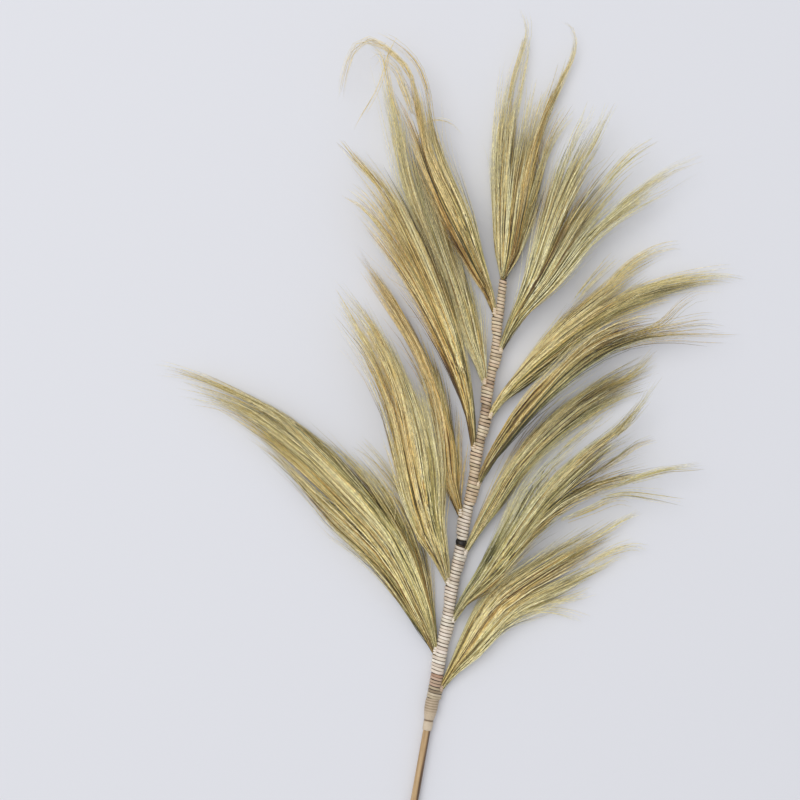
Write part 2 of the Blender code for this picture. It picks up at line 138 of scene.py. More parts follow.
# name: (where it leaves the binding, side of the cane, height, guides)
# A plume's guides run from its root to its tips, from its left edge to its right.
PLUMES = {
    "tip": (280, 0, LOW, [
        [(91, 318), (86, 406), (88, 486), (98, 550), (112, 614), (128, 654), (134, 710), (125, 723)],
        [(98, 318), (102, 438), (112, 534), (125, 598), (138, 646)],
        [(106, 318), (120, 422), (133, 502), (141, 550)],
        [(113, 318), (132, 406), (150, 502), (176, 570), (202, 622), (214, 662), (197, 694)],
        [(120, 318), (135, 358), (150, 406), (169, 482), (189, 534)]]),
    "right_1": (165, 1, HIGH, [
        [(133, 278), (165, 390), (197, 486), (237, 554)],
        [(149, 294), (189, 406), (221, 470), (277, 566)],
        [(173, 290), (237, 390), (309, 468)],
        [(189, 278), (253, 358), (317, 406), (381, 454), (437, 474)]]),
    "right_2": (58, 1, LOW, [
        [(125, 134), (189, 206), (253, 259), (317, 307), (381, 338)],
        [(157, 166), (221, 218), (325, 294)],
        [(125, 118), (189, 174), (253, 218), (317, 254), (381, 270), (485, 290)],
        [(141, 118), (189, 158), (253, 206), (317, 242)]]),
    "right_3": (-51, 1, HIGH, [
        [(93, 30), (125, 78), (189, 142), (253, 198), (317, 218), (357, 224), (413, 259)],
        [(93, 10), (157, 94), (221, 158), (285, 190), (349, 206), (397, 206)],
        [(109, 22), (157, 78), (221, 134), (285, 174), (349, 190), (413, 190), (493, 182)]]),
    "right_4": (-162, 1, LOW, [
        [(53, -122), (93, -42), (157, 42), (189, 70), (253, 118), (349, 166)],
        [(77, -98), (125, -18), (189, 46), (253, 94), (309, 122), (365, 142)],
        [(93, -86), (141, -18), (189, 27), (253, 74), (317, 102), (381, 122)]]),
    "right_5": (-270, 1, HIGH, [
        [(61, -186), (93, -130), (157, -26), (189, -2), (237, 38), (285, 94)],
        [(61, -210), (125, -114), (189, -34), (253, 22), (301, 54), (333, 110), (352, 134)],
        [(93, -178), (157, -90), (221, -26), (277, 18), (357, 35)],
        [(93, -184), (157, -105), (221, -61), (285, -40), (413, -22)],
        [(93, -194), (157, -122), (213, -82), (253, -58)]]),
    "right_6": (-381, 1, LOW, [
        [(13, -346), (45, -274), (77, -224), (157, -170), (221, -130), (293, -98)],
        [(37, -322), (93, -240), (157, -194), (237, -148), (317, -106)],
        [(61, -314), (125, -248), (189, -218), (253, -186), (317, -154)],
        [(61, -322), (101, -275), (157, -248), (221, -212), (285, -176)]]),
    "left_6": (-325, -1, LOW, [
        [(-35, -282), (-99, -186), (-195, -90), (-259, -12), (-323, 46)],
        [(-43, -240), (-91, -146), (-163, -66), (-227, -2), (-355, 86), (-467, 134)],
        [(-27, -234), (-67, -146), (-107, -82), (-163, -26), (-291, 86), (-355, 110), (-467, 134)],
        [(-19, -240), (-35, -170), (-75, -74), (-147, 22), (-163, 62)]]),
    "left_5": (-211, -1, HIGH, [
        [(-35, -130), (-59, -58), (-75, 22), (-91, 86), (-115, 142), (-179, 246)],
        [(-19, -122), (-38, -42), (-67, 102), (-91, 166), (-123, 222), (-182, 286)],
        [(-12, -106), (-26, 6), (-51, 92), (-91, 182), (-131, 262)],
        [(0, -106), (-2, -26), (-13, 38), (-43, 166)]]),
    "left_4": (-103, -1, LOW, [
        [(8, -53), (0, 5), (-7, 50), (-29, 126), (-59, 190), (-123, 286)],
        [(16, -53), (10, 6), (-3, 86), (-19, 134), (-67, 230), (-123, 310), (-171, 374)],
        [(25, -53), (25, -14), (17, 30), (8, 86), (-3, 134), (-16, 190)]]),
    "left_3": (6, -1, HIGH, [
        [(32, 86), (13, 134), (-27, 222), (-75, 302), (-147, 398)],
        [(38, 102), (21, 166), (-19, 270), (-67, 374), (-91, 422), (-123, 462), (-171, 518)],
        [(44, 110), (32, 166), (-11, 294), (-59, 398), (-99, 470)]]),
    "left_2": (109, -1, LOW, [
        [(37, 182), (13, 246), (-11, 310), (-59, 422), (-86, 550), (-107, 646)],
        [(45, 198), (29, 262), (13, 310), (-19, 406), (-51, 534)],
        [(60, 198), (50, 246), (37, 294), (21, 342)]]),
    "left_1": (222, -1, HIGH, [
        [(45, 294), (13, 350), (-11, 406), (-51, 502), (-94, 630)],
        [(53, 310), (21, 382), (-27, 486), (-43, 582), (-59, 622), (-91, 650), (-123, 662),
         (-147, 638), (-158, 598)],
        [(64, 310), (45, 374), (-3, 486), (-24, 566), (-51, 646), (-75, 666), (-115, 668),
         (-147, 654)]]),
}

# name: (material slot, strands, rings of each strand, how far its tips gather on the guides, and
# a look at each guide from the left edge to the right). A look is how warm and how light the grass
# is, how crowded it is there, and the share of the guide that it reaches: 0 to 1, but the light is
# over 1 where the grass is palest.
# A look's light is partly the grass's own tone and partly painted light and shade over the plumes' sides.
LOOKS = {
    "tip": ("grass_green", 1800, 7, 0.7,
            [(0.4, 1.0, 1, 0.76), (0.66, 0.86, 0.9, 0.9), (0.36, 0.44, 0.9, 1), (0.9, 0.67, 1, 0.84),
             (0.4, 0.68, 0.6, 1)]),
    "right_1": ("grass_green", 1900, 6, 0.5,
                [(0.08, 0.84, 1, 0.95), (0.39, 0.62, 1, 0.95), (0.3, 0.5, 0.9, 0.95),
                 (0.28, 0.98, 0.55, 0.9)]),
    "right_2": ("grass_straw", 1800, 6, 0.7,
                [(0.37, 0.95, 0.9, 1), (0.46, 1.14, 0.8, 1), (0.1, 0.36, 1, 1), (0.0, 0.42, 0.6, 1)]),
    "right_3": ("grass_green", 1450, 7, 0.4,
                [(0.97, 0.65, 0.6, 0.88), (0.6, 0.26, 1, 0.93), (0.0, 0.22, 0.9, 0.8)]),
    "right_4": ("grass_green", 1400, 6, 0.5,
                [(0.47, 0.7, 1, 1), (0.5, 0.42, 1, 1), (0.0, 0.42, 0.3, 0.92)]),
    "right_5": ("grass_green", 2100, 6, 0.95,
                [(0.0, 0.7, 0.05, 0.55), (0.35, 0.64, 1, 1), (0.18, 0.45, 0.8, 0.9),
                 (0.3, 0.63, 0.45, 0.95), (0.28, 0.41, 0.22, 0.85)]),
    "right_6": ("grass_straw", 1550, 6, 0.8,
                [(0.0, 1.02, 0.5, 0.95), (0.56, 0.68, 1, 0.95), (0.0, 0.64, 0.55, 0.9),
                 (0.0, 0.83, 0.25, 0.85)]),
    "left_6": ("grass_straw", 2250, 6, 0.4,
               [(0.3, 0.4, 0.9, 0.95), (0.36, 0.7, 1, 0.92), (0.06, 0.54, 1, 0.9),
                (0.26, 0.45, 0.6, 0.95)]),
    "left_5": ("grass_straw", 1900, 6, 0.45,
               [(0.58, 0.77, 1, 1), (0.67, 0.76, 1, 1), (0.05, 0.8, 0.8, 0.98), (0.05, 1.14, 0.4, 0.95)]),
    "left_4": ("grass_brown", 1350, 6, 0.5,
               [(0.93, 0.74, 1, 0.95), (0.95, 0.64, 1, 0.95), (0.32, 0.63, 0.8, 1)]),
    "left_3": ("grass_straw", 1850, 7, 0.25,
               [(0.86, 0.56, 1, 1), (0.48, 0.64, 1, 0.97), (0.24, 0.66, 0.9, 1)]),
    "left_2": ("grass_green", 1450, 6, 0.3,
               [(0.74, 1.42, 0.9, 0.95), (0.48, 0.6, 1, 1), (0.34, 0.96, 0.7, 1)]),
    "left_1": ("grass_brown", 1350, 8, 0.6,
               [(0.74, 0.5, 0.8, 0.9), (0.5, 0.54, 1, 0.72), (0.0, 1.0, 0.9, 0.72)]),
}

# Thin wisps that stand out of a plume: how many strands, how many millimetres apart they end, and
# the line that they follow.
WISPS = {
    "tip": [(26, 3, [(107, 538), (115, 598), (131, 650), (138, 682), (131, 710), (122, 723)]),
        (14, 3, [(120, 538), (130, 598), (138, 646), (139, 688)]),
        (26, 3, [(157, 518), (170, 547), (192, 600), (208, 632), (214, 666), (205, 688), (186, 699)]),
        (20, 6, [(158, 526), (177, 566), (192, 602), (206, 640)]),
        (12, 6, [(128, 490), (142, 558), (152, 605)]),
        (12, 7, [(138, 490), (160, 570), (176, 610)]),
        (18, 7, [(155, 450), (182, 515), (213, 560)])],
    "right_1": [(16, 5, [(198, 458), (211, 502), (234, 542), (243, 562)]),
        (16, 5, [(221, 458), (243, 498), (262, 542), (275, 566)]),
        (30, 8, [(242, 406), (274, 450), (307, 482), (346, 506)]),
        (24, 6, [(258, 371), (299, 410), (339, 437), (381, 459), (422, 472)]),
        (24, 9, [(229, 342), (282, 381), (333, 413), (374, 429)])],
    "right_2": [(26, 5, [(253, 253), (285, 290), (318, 315), (360, 333), (390, 336)]),
        (60, 8, [(253, 227), (310, 259), (360, 274), (413, 283), (461, 285), (490, 280)]),
        (24, 6, [(253, 211), (298, 227), (339, 243), (381, 253)]),
        (16, 6, [(208, 237), (237, 272), (262, 298), (288, 323)])],
    "right_3": [(18, 4, [(253, 163), (317, 192), (352, 211), (378, 237), (402, 253), (432, 259)]),
        (22, 7, [(253, 163), (326, 195), (368, 203), (419, 211), (461, 208)]),
        (18, 7, [(237, 154), (317, 184), (368, 190), (421, 189), (480, 189)]),
        (26, 7, [(189, 131), (240, 182), (298, 218), (349, 227)])],
    "right_4": [(20, 4, [(253, 94), (291, 117), (325, 144), (352, 170)]),
        (22, 5, [(206, 38), (256, 74), (304, 99), (330, 107)])],
    "right_5": [(12, 5, [(178, -2), (218, 30), (256, 58), (278, 77)]),
        (20, 5, [(221, -13), (272, 32), (304, 64), (336, 102), (355, 125)]),
        (16, 5, [(229, -42), (277, -10), (312, 14), (349, 26)]),
        (30, 4, [(253, -58), (317, -37), (360, -26), (394, -24), (422, -21)]),
        (14, 6, [(245, -70), (291, -61), (342, -67), (390, -77)]),
        (16, 7, [(189, -106), (237, -86), (282, -67), (326, -74)])],
    "right_6": [(26, 6, [(206, -155), (250, -131), (290, -107), (323, -90)]),
        (22, 7, [(218, -189), (272, -157), (310, -147), (336, -154)]),
        (24, 6, [(154, -230), (206, -205), (256, -179), (288, -163), (307, -168)]),
        (12, 4, [(125, -259), (168, -250), (206, -256), (237, -269)]),
        (14, 6, [(141, -243), (186, -235), (221, -227), (259, -211)])],
    "left_6": [(40, 5, [(-227, 42), (-291, 77), (-336, 99), (-387, 120), (-432, 133), (-467, 139)]),
        (40, 8, [(-211, 16), (-267, 48), (-323, 75), (-378, 93), (-429, 104)]),
        (22, 6, [(-48, -106), (-70, -58), (-102, -13), (-144, 29)])],
    "left_5": [(26, 5, [(-96, 131), (-115, 166), (-144, 214), (-174, 266)]),
        (26, 7, [(-6, -74), (-10, -3), (-26, 70), (-48, 141)])],
    "left_4": [(22, 4, [(-29, 131), (-56, 186), (-93, 246), (-138, 317)]),
        (20, 4, [(10, 3), (6, 58), (-8, 118), (-22, 166)]),
        (16, 3, [(24, -80), (28, -40), (27, 10), (27, 54), (22, 90)]),
        (10, 3, [(30, -80), (35, -30), (40, 10), (42, 30)])],
    "left_3": [(30, 5, [(-93, 414), (-112, 438), (-134, 462), (-168, 504)]),
        (30, 7, [(-64, 323), (-93, 362), (-125, 400), (-160, 426)])],
    "left_2": [(24, 5, [(-64, 483), (-75, 533), (-88, 586), (-93, 624)]),
        (24, 6, [(-48, 438), (-61, 486), (-64, 534), (-70, 579)])],
    "left_1": [(16, 4, [(-16, 526), (-27, 587), (-40, 619), (-61, 643), (-86, 661), (-112, 672)]),
        (20, 3, [(-35, 518), (-45, 581), (-51, 608), (-69, 629), (-90, 648), (-117, 661), (-136, 653),
            (-149, 630), (-157, 603), (-165, 554)]),
        (16, 5, [(-61, 518), (-80, 570), (-88, 608), (-93, 635), (-107, 651), (-131, 656)]),
        (14, 6, [(-45, 534), (-61, 582), (-77, 618), (-99, 630), (-115, 611)]),
        (6, 3, [(-45, 470), (-35, 510), (-18, 531), (8, 530), (30, 516), (44, 499)]),
        (6, 3, [(-70, 666), (-84, 640), (-95, 602), (-107, 573), (-126, 540), (-146, 500)])],
}

# A plume's strands grow in locks. Spreads are shares of the plume's own width.
LOCK_STRANDS = 18
LOCK_SPREAD, LOCK_SPLAY = 0.1, 0.13
SINGLES, LONE_GATHER = 0.35, 0.15  # share of the strands that keep to no lock
GATHER_SPREAD = 0.2
WARM, LIGHT, CROWD, REACH = range(4)  # parts of a look
CROWD_STEPS, EDGE_ROOM = 201, 1.01  # a little over 1, so that a plume's edge isn't bare
OVER_EDGE, OVER_SKIN = 1.03, 1.05  # how far out a strand may lie, across and in depth
# A strand's radius, at shares of its length: a fine stem, the seed head on it, and a thin awn.
STRAND_RADII = [(0.0, 0.5), (0.3, 0.6), (0.5, 0.57), (0.7, 0.38), (0.87, 0.24), (1.0, 0.1)]
STRAND_SIZES = (0.6, 1.2)
# Most strands start near the plume's root and the others further along, at shares of its length.
STARTS_AT_ROOT, ROOT_START = 0.6, 0.06
FIRST_START, LAST_START = 0.02, 0.45
# Those start inside the plume, at shares of their place in its depth and across it, and work their
# way out over a share of its length. One that starts before FULL_START is out from the first.
START_SHARE, START_ACROSS, EMERGE, FULL_START = 0.3, 0.6, 0.3, 0.07
# A lock's reach is a share of its guides', and its strands end over a share of the plume.
LOCK_REACH, REACH_SPREAD, LEAST_REACH = 0.98, 0.05, 0.84
THIN_OUT, THIN_POWER, SHORTEST = 0.5, 0.65, 0.15
# Shares of dark and pale strands, partly the grass's own tone, partly painted shade and painted highlight.
DARK_STRANDS, PALE_STRANDS = 0.13, 0.13
BOLD, BOLD_UP = 1.7, 0.92  # how much thicker those are, and how near to the plume's skin
WAVE, WAVES, BEND = 0.3, 1.3, 7.0  # sideways, towards the tips
LOCK_BEND, STRAND_BEND, STRAND_RISE = 0.6, 0.55, 1.5
# Loose threads along the plume's edges.
FLYAWAYS, FLYAWAY_SIZE = 0.045, 0.6
FLYAWAY_REACH, FLYAWAY_RISE = 10.0, 4.0
EDGE_START, EDGE_REACH = 0.9, 1.16
WISP_RINGS, WISP_START, WISP_END = 8, 0.3, 0.6
WISP_RADII = [(0.0, 0.26), (0.3, 0.3), (0.6, 0.24), (1.0, 0.13)]
WISP_SIZES, WISP_ROOT_SHARE = (0.6, 1.7), 0.4
WISP_CURL, WISP_RISE = 0.7, 2.5

# Streaks, where the strands of a plume share a tone, partly their own and partly painted light and shade
# between clumps: their width, and how many lie along it.
VALLEYS, STREAKS, SHADE_SLOTS = (9.0, 2), (1.9, 7), (1.9, 4)
VALLEY_LIGHT, STREAK_LIGHT, STREAK_WARM = 0.06, 0.34, 0.3
SHADE_SLOT_LEVEL, SHADE_SLOT_DEPTH = 0.75, 0.95  # a slot is painted shade, where one would see into the shade deep between the strands
# The darkest slots of painted shade: place across the plume, where it starts and ends along it.
DEEP_SHADE_SLOTS = {"tip": [(0.06, 0.0, 0.1), (0.3, 0.1, 0.3)],
              "right_1": [(0.5, 0.2, 0.56), (0.42, 0.1, 0.3)],
              "right_5": [(0.42, 0.3, 0.6)]}
DEEP_WIDTH, DEEP_SHADE, DEEP_FADE = 0.014, 0.9, 0.08
# How much darker some plumes are near their roots, and how far along that reaches.
ROOT_SHADE = {"tip": 0.12, "right_1": 0.3, "right_5": 0.08, "right_6": 0.42, "left_6": 0.14,
              "left_3": 0.1, "left_1": 0.26}
ROOT_REACH = 0.4
# How much the warm and the light differ from lock to lock, strand to strand and wisp to wisp.
LOCK_TONES, STRAND_TONES, WISP_TONES = (0.16, 0.08), (0.16, 0.17), 0.2
STRAND_SHADE, STRAND_HIGHLIGHT = 0.5, 0.34  # how much darker and paler they are: partly the grass's own tone, partly painted shade for dark lines between strands and painted highlight
BASE_LIGHT, LOW_SHADE = 0.01, 0.08  # everywhere, and low in a plume
TIP_LIGHT, TIP_WARM = 0.6, 0.1
WISP_TONE = (0.05, 0.14)  # added to the plume's own
# Painted shade for the stalk and the mass inside a plume.
CORE_SHADE_TONE = (0.5, 0.22, 0.5)
# The mass of grass inside a plume, painted dark as the shade deep in it: how far along it, and its size as
# a share of the plume's own.
CORE = [(0.0, 0.9), (0.05, 0.85), (0.12, 0.7), (0.2, 0.58), (0.3, 0.45), (0.4, 0.3), (0.5, 0.05)]
CORE_SIDES, CORE_ACROSS = 12, 0.8  # it is slimmer across
STALK_STATIONS = (1, 0.6, 0.25)  # shares of its depth, from its end up

MAP_COLUMNS = 128  # strands side by side on a plume's map
MAP_ROWS = 3  # of a binding's map, for its sleeve and for each collar
# The room kept round a tube in its own field of the map, sideways and upwards, as shares of it.
STRAND_ROOM, CORE_ROOM = (0.2, 0.05), (0.01, 0.1)
SLEEVE_ROOM, STRIP_ROOM, TUBE_ROOM = (0.01, 0.05), (0.01, 0.08), (0.01, 0.01)

# The materials' noises: their scale over the object's metres, and their detail.
FLECKS, SPECKLE, FIBRES, BLOTCHES = (200, 3), (1400, 2), (420, 5), (120, 3)
FLECK_DEPTH, FIBRE_DEPTH, BLOTCH_DEPTH = 2.1, 0.56, 0.3
SEED_REACH = 90.0  # how far apart in their noise the strands' flecks are taken
TINT_SHARE = 0.35  # of a slot's own tint over the grass
GRASS_FINISH, GRASS_BUMP = (0.55, 0.15), (0.4, 0.0004)  # roughness and sheen; strength and distance
STRIP_SHEEN, STRIP_BUMP = 0.05, (0.5, 0.0006)
# The roughness of a strip and of the cane, and how their fibres' noise is stretched.
STRIP_GRAIN, CANE_GRAIN = (0.5, (1, 4, 1)), (0.42, (5, 0.25, 5))
# The shades of cool and of warm grass, at these places of light.
GRASS_SHADES = (0.0, 0.3, 0.6, 1.0)
GRASS = ([(80, 77, 42), (158, 150, 92), (224, 214, 150), (254, 248, 210)],
         [(98, 68, 32), (188, 145, 76), (242, 208, 124), (255, 239, 188)])
TINTS = {"grass_green": (232, 236, 214), "grass_straw": (255, 246, 196), "grass_brown": (246, 226, 166)}
# The shades of the painted shade in a gap, a dark turn, a plain one and a pale one, where a strip is cool
# and warm.
STRIP_SHADES = (0.0, 0.2, 0.55, 1.0)
STRIPS = {
    "winding_tan": ([(72, 58, 40), (148, 129, 98), (219, 203, 169), (246, 234, 209)],
                    [(66, 48, 32), (142, 114, 87), (215, 188, 159), (243, 224, 202)]),
    "winding_cream": ([(92, 80, 62), (166, 152, 126), (232, 222, 202), (250, 245, 234)],
                      [(80, 62, 48), (160, 138, 116), (228, 210, 192), (248, 238, 226)]),
    "winding_black": ([(8, 7, 6), (17, 15, 12), (28, 24, 19), (48, 42, 34)],
                      [(8, 6, 5), (17, 13, 11), (28, 22, 18), (48, 39, 33)]),
    "winding_brown": ([(60, 48, 34), (124, 104, 80), (186, 170, 140), (218, 204, 180)],
                      [(44, 29, 19), (92, 62, 43), (178, 140, 114), (220, 190, 168)]),
    "sheath": ([(86, 68, 46), (146, 126, 98), (204, 188, 160), (226, 213, 190)],
               [(80, 60, 40), (140, 118, 92), (198, 178, 152), (222, 206, 184)]),
    "cane": ([(84, 64, 42), (128, 100, 68), (186, 158, 112), (214, 190, 148)],
             [(74, 52, 34), (118, 88, 60), (180, 144, 102), (210, 180, 140)]),
}

# The photograph's frame, seen straight from above.
PIXEL = 1.6
CANE_PIXEL = (442, 454)  # lies at the zero that the lines above are measured from
FRAME_PIXELS = 800
LENS, SENSOR = 85.0, 36.0
SEEN_HEIGHT = 30.0
# The studio, in metres: a light's place, size, power and colour.
LIGHTS = {"key": ((-3.6, 2.6, 8.2), 7.5, 330, (1.0, 0.985, 0.955)),
          "fill": ((-0.4, 0.3, 9.0), 2.0, 90, (1.0, 1.0, 1.0))}
SKY, SKY_STRENGTH = (0.945, 0.95, 1.0, 1), 0.62
FLOOR_SIZE, FLOOR_GAP = 60.0, 0.0005
FLOOR_COLOUR, FLOOR_ROUGHNESS = (0.736, 0.747, 0.781, 1), 0.9


def spaced(values, knots, rows):
    """Rows of numbers, read at these values between their knots."""
    return np.stack([np.interp(values, knots, column) for column in np.array(rows).T], axis=-1)


def curve_through(points, count, skip=0):
    """Points evenly spaced on a smooth curve through the given ones, after the first few."""
    points = np.array(points, float)
    steps = np.linalg.norm(np.diff(points, axis=0), axis=1)
    knots = np.concatenate([[0], np.cumsum(steps)])
    slopes = np.gradient(points, knots, axis=0)
    fine = np.linspace(knots[skip], knots[-1], CURVE_STEPS * len(points))
    i = np.clip(np.searchsorted(knots, fine, side="right") - 1, 0, len(steps) - 1)
    width = steps[i][:, None]
    u = (fine - knots[i])[:, None] / width
    dense = ((2 * u**3 - 3 * u**2 + 1) * points[i] + (3 * u**2 - 2 * u**3) * points[i + 1]
             + (u**3 - 2 * u**2 + u) * width * slopes[i] + (u**3 - u**2) * width * slopes[i + 1])
    run = np.concatenate([[0], np.cumsum(np.linalg.norm(np.diff(dense, axis=0), axis=1))])
    return spaced(np.linspace(0, run[-1], count), run, dense)


def ease(x):
    """0 to 1 with soft ends, as x goes from 0 to 1."""
    x = np.clip(x, 0, 1)
    return x * x * (3 - 2 * x)


def bump(x):
    """1 at 0, and soon 0 to both sides."""
    return np.exp(-x**2)


def unit(v):
    return v / np.maximum(np.linalg.norm(v, axis=-1, keepdims=True), 1e-9)


def sides_of(ahead):
    """To the right and up, for what runs this way."""
    right = unit(np.cross(ahead, (0, 0, 1)))
    return right, np.cross(right, ahead)


def circle(count):
    """Angles evenly round a circle."""
    return np.linspace(0, 2 * math.pi, count, endpoint=False)


def outwards(angles, right, up):
    """Directions at these angles, from the right towards up."""
    return np.cos(angles)[..., None] * right + np.sin(angles)[..., None] * up


def rounds(centres, radii, angles, right, up):
    """Points round each centre: (centres, angles, 3)."""
    out = outwards(angles, right[..., None, :], up[..., None, :])
    return centres[..., None, :] + radii[..., None] * out


CANE_PATH = curve_through(CANE_LINE, CANE_SAMPLES)[::-1]


def cane_share(y):
    """0 at the cane's butt and 1 where the binding starts at its tip."""
    return (y - CANE_BUTT_Y) / (WRAP_TOP - CANE_BUTT_Y)


def cane_at(y):
    """The middle of the cane at y."""
    y = np.asarray(y, float)
    t = cane_share(y)
    x = np.interp(y, CANE_PATH[:, 1], CANE_PATH[:, 0])
    return np.stack([x, y, CANE_BUTT_RADIUS + CANE_RISE * t + CANE_BEND * t * t], axis=-1)


def cane_frame(y):
    """Along the cane towards its tip, to its right, and up, at y."""
    y = np.asarray(y, float)
    along = unit(cane_at(y + CANE_STEP) - cane_at(y - CANE_STEP))
    return along, *sides_of(along)


def cane_radius(y):
    return CANE_BUTT_RADIUS + (CANE_TIP_RADIUS - CANE_BUTT_RADIUS) * cane_share(y)


class Plume:
    """Where the strands of one plume lie."""

    def __init__(self, root_y, side, height, guides):
        self.root_y, self.side, self.height = root_y, side, height
        self.radius = STALK_RADIUS if side else TIP_STALK_RADIUS
        self.depth = STALK_DEPTH if side else TIP_STALK_DEPTH
        self.root = self.stalk_at(0)
        start = [self.stalk_at(self.depth / 2)[:2], self.root[:2]]
        self.guides = np.array([curve_through(start + g, SAMPLES, skip=1) for g in guides])
        steps = np.linalg.norm(np.diff(self.guides, axis=1), axis=2)
        self.length = steps.sum(axis=1).mean()
        self.width = np.linalg.norm(self.guides[-1] - self.guides[0], axis=1)[SAMPLES // 2]

    def stalk_radius(self, below):
        """The stalk's radius this far below the root, under the binding."""
        if not self.side:
            return self.radius + 0 * below
        return self.radius + (STALK_END_RADIUS - self.radius) * below / self.depth

    def stalk_at(self, below):
        """The middle of the stalk this far below the root."""
        y = self.root_y - below
        _, right, _ = cane_frame(y)
        offset = cane_radius(y) + STALK_CLEAR + self.stalk_radius(below)
        return cane_at(y) + right * self.side * offset

    def on_guides(self, place, along):
        """Points between the guides, at this place across them and this share of their length."""
        low = np.clip(np.floor(place).astype(int), 0, len(self.guides) - 2)
        i = np.clip(along * (SAMPLES - 1), 0, SAMPLES - 1.001)
        j = i.astype(int)
        mix, step = (place - low)[:, None], (i - j)[:, None]
        left = self.guides[low, j] * (1 - step) + self.guides[low, j + 1] * step
        right = self.guides[low + 1, j] * (1 - step) + self.guides[low + 1, j + 1] * step
        return left * (1 - mix) + right * mix

    def at(self, across, up, along, gather=0.0):
        """Points at -1 to 1 across, -1 to 1 in depth and 0 to 1 along the plume.

        gather draws a point to its nearest guide, more so towards the tips.
        """
        across, up, along, gather = np.broadcast_arrays(across, up, along, gather)
        shape = across.shape
        across, up, along, gather = (v.ravel().astype(float) for v in (across, up, along, gather))
        place = (across + 1) / 2 * (len(self.guides) - 1)
        place = place + (np.round(place) - place) * gather * along**GATHER_POWER
        flat = self.on_guides(place, along)
        middle = np.full_like(along, (len(self.guides) - 1) / 2)
        ahead = self.on_guides(middle, along + AHEAD_STEP) - self.on_guides(middle, along - AHEAD_STEP)
        ahead = unit(ahead)
        stalk = self.radius * (1 - ease(along / STALK_FADE))
        flat = flat + np.column_stack([ahead[:, 1], -ahead[:, 0]]) * (stalk * across)[:, None]
        thin = 1 - THIN_BY * ease((along - THIN_FROM) / (1 - THIN_FROM))
        swell = HALF_DEPTH * ease(along / SWELL_ALONG) * thin
        z = self.root[2] + (self.height - self.root[2]) * ease(along / RISE_ALONG)
        z = z - TIP_DROP * ease((along - DROP_FROM) / (1 - DROP_FROM)) * (self.height == HIGH)
        return np.column_stack([flat, z + up * (stalk + swell)]).reshape(*shape, 3)


def tube_faces(rings, sides, pointed=False):
    """Triangles of a closed tube, and each corner's place on a map: round it and along it.

    Its vertices go ring by ring, and a pointed one has one more at its tip.
    """
    end = rings - 1
    corners = []
    for r in range(end):
        for k in range(sides):
            corners += [(r, k), (r, k + 1), (r + 1, k + 1), (r, k), (r + 1, k + 1), (r + 1, k)]
    for k in range(1, sides - 1):
        corners += [(0, 0), (0, k + 1), (0, k)]
        if not pointed:
            corners += [(end, 0), (end, k), (end, k + 1)]
    for k in range(sides if pointed else 0):
        corners += [(end, k), (end, k + 1), (rings, k + 0.5)]
    ring, side = np.array(corners, float).T
    faces = ring * sides + np.where(ring < rings, side % sides, 0)
    return faces.astype(int).reshape(-1, 3), np.column_stack([side / sides, ring / (end + pointed)])


def inset(places, room):
    """Places of 0 to 1 drawn in, to leave this much room round them."""
    return places * (1 - 2 * np.array(room)) + room


def put(name, data):
    """An object with this data, in the scene."""
    obj = bpy.data.objects.new(name, data)
    bpy.context.scene.collection.objects.link(obj)
    return obj


class Body:
    """Closed tubes gathered for one piece: points, triangles, tones and places on its map."""

    def __init__(self):
        self.points, self.faces, self.tones, self.places = [], [], [], []
        self.count = 0

    def add(self, points, faces, tones, places):
        """Tubes of one build: points and tones (tubes, vertices, 3), places (tubes, corners, 2)."""
        tubes, each = points.shape[:2]
        first = self.count + np.arange(tubes)[:, None, None] * each
        self.points.append(points.reshape(-1, 3))
        self.faces.append((faces[None] + first).reshape(-1, 3))
        self.tones.append(np.broadcast_to(tones, points.shape).reshape(-1, 3))
        self.places.append(places.reshape(-1, 2))
        self.count += tubes * each

    def tube(self, rings, tones, room, share=(0, 1)):
        """One closed tube of these rings (rings, sides, 3), between these heights of the map."""
        faces, places = tube_faces(*rings.shape[:2])
        low, high = share
        places = inset(places, room) * (1, high - low) + (0, low)
        self.add(rings.reshape(1, -1, 3), faces, tones, places[None])

    def piece(self, name, slot, nodes):
        """One mesh of them all, which takes these nodes' place."""
        points = (np.concatenate(self.points) - CENTRE) * MM
        points[:, 2] = np.maximum(points[:, 2], 0)
        faces = np.concatenate(self.faces)
        mesh = bpy.data.meshes.new(name)
        mesh.vertices.add(len(points))
        mesh.vertices.foreach_set("co", points.astype(np.float32).ravel())
        mesh.loops.add(faces.size)
        mesh.loops.foreach_set("vertex_index", faces.astype(np.int32).ravel())
        mesh.polygons.add(len(faces))
        mesh.polygons.foreach_set("loop_start", np.arange(0, faces.size, 3, dtype=np.int32))
        mesh.polygons.foreach_set("use_smooth", np.ones(len(faces), bool))
        tone = mesh.attributes.new("tone", "FLOAT_COLOR", "POINT")
        tones = np.concatenate(self.tones)
        tones = np.column_stack([tones, np.ones(len(tones))])
        tone.data.foreach_set("color", tones.astype(np.float32).ravel())
        layer = mesh.uv_layers.new(name="OFBake")
        layer.uv.foreach_set("vector", np.concatenate(self.places).astype(np.float32).ravel())
        mesh.update(calc_edges=True)
        mesh.validate()
        mesh.materials.append(MATERIALS[slot])
        obj = put(name, mesh)
        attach(obj, "root")
        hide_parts(*nodes)


def smooth_noise(places, draw, size, step):
    """A random number of this size that changes smoothly from place to place, about once a step."""
    knots = np.arange(places.min() - step, places.max() + 2 * step, step)
    return size * np.interp(places, knots, draw.normal(0, 1, len(knots)))


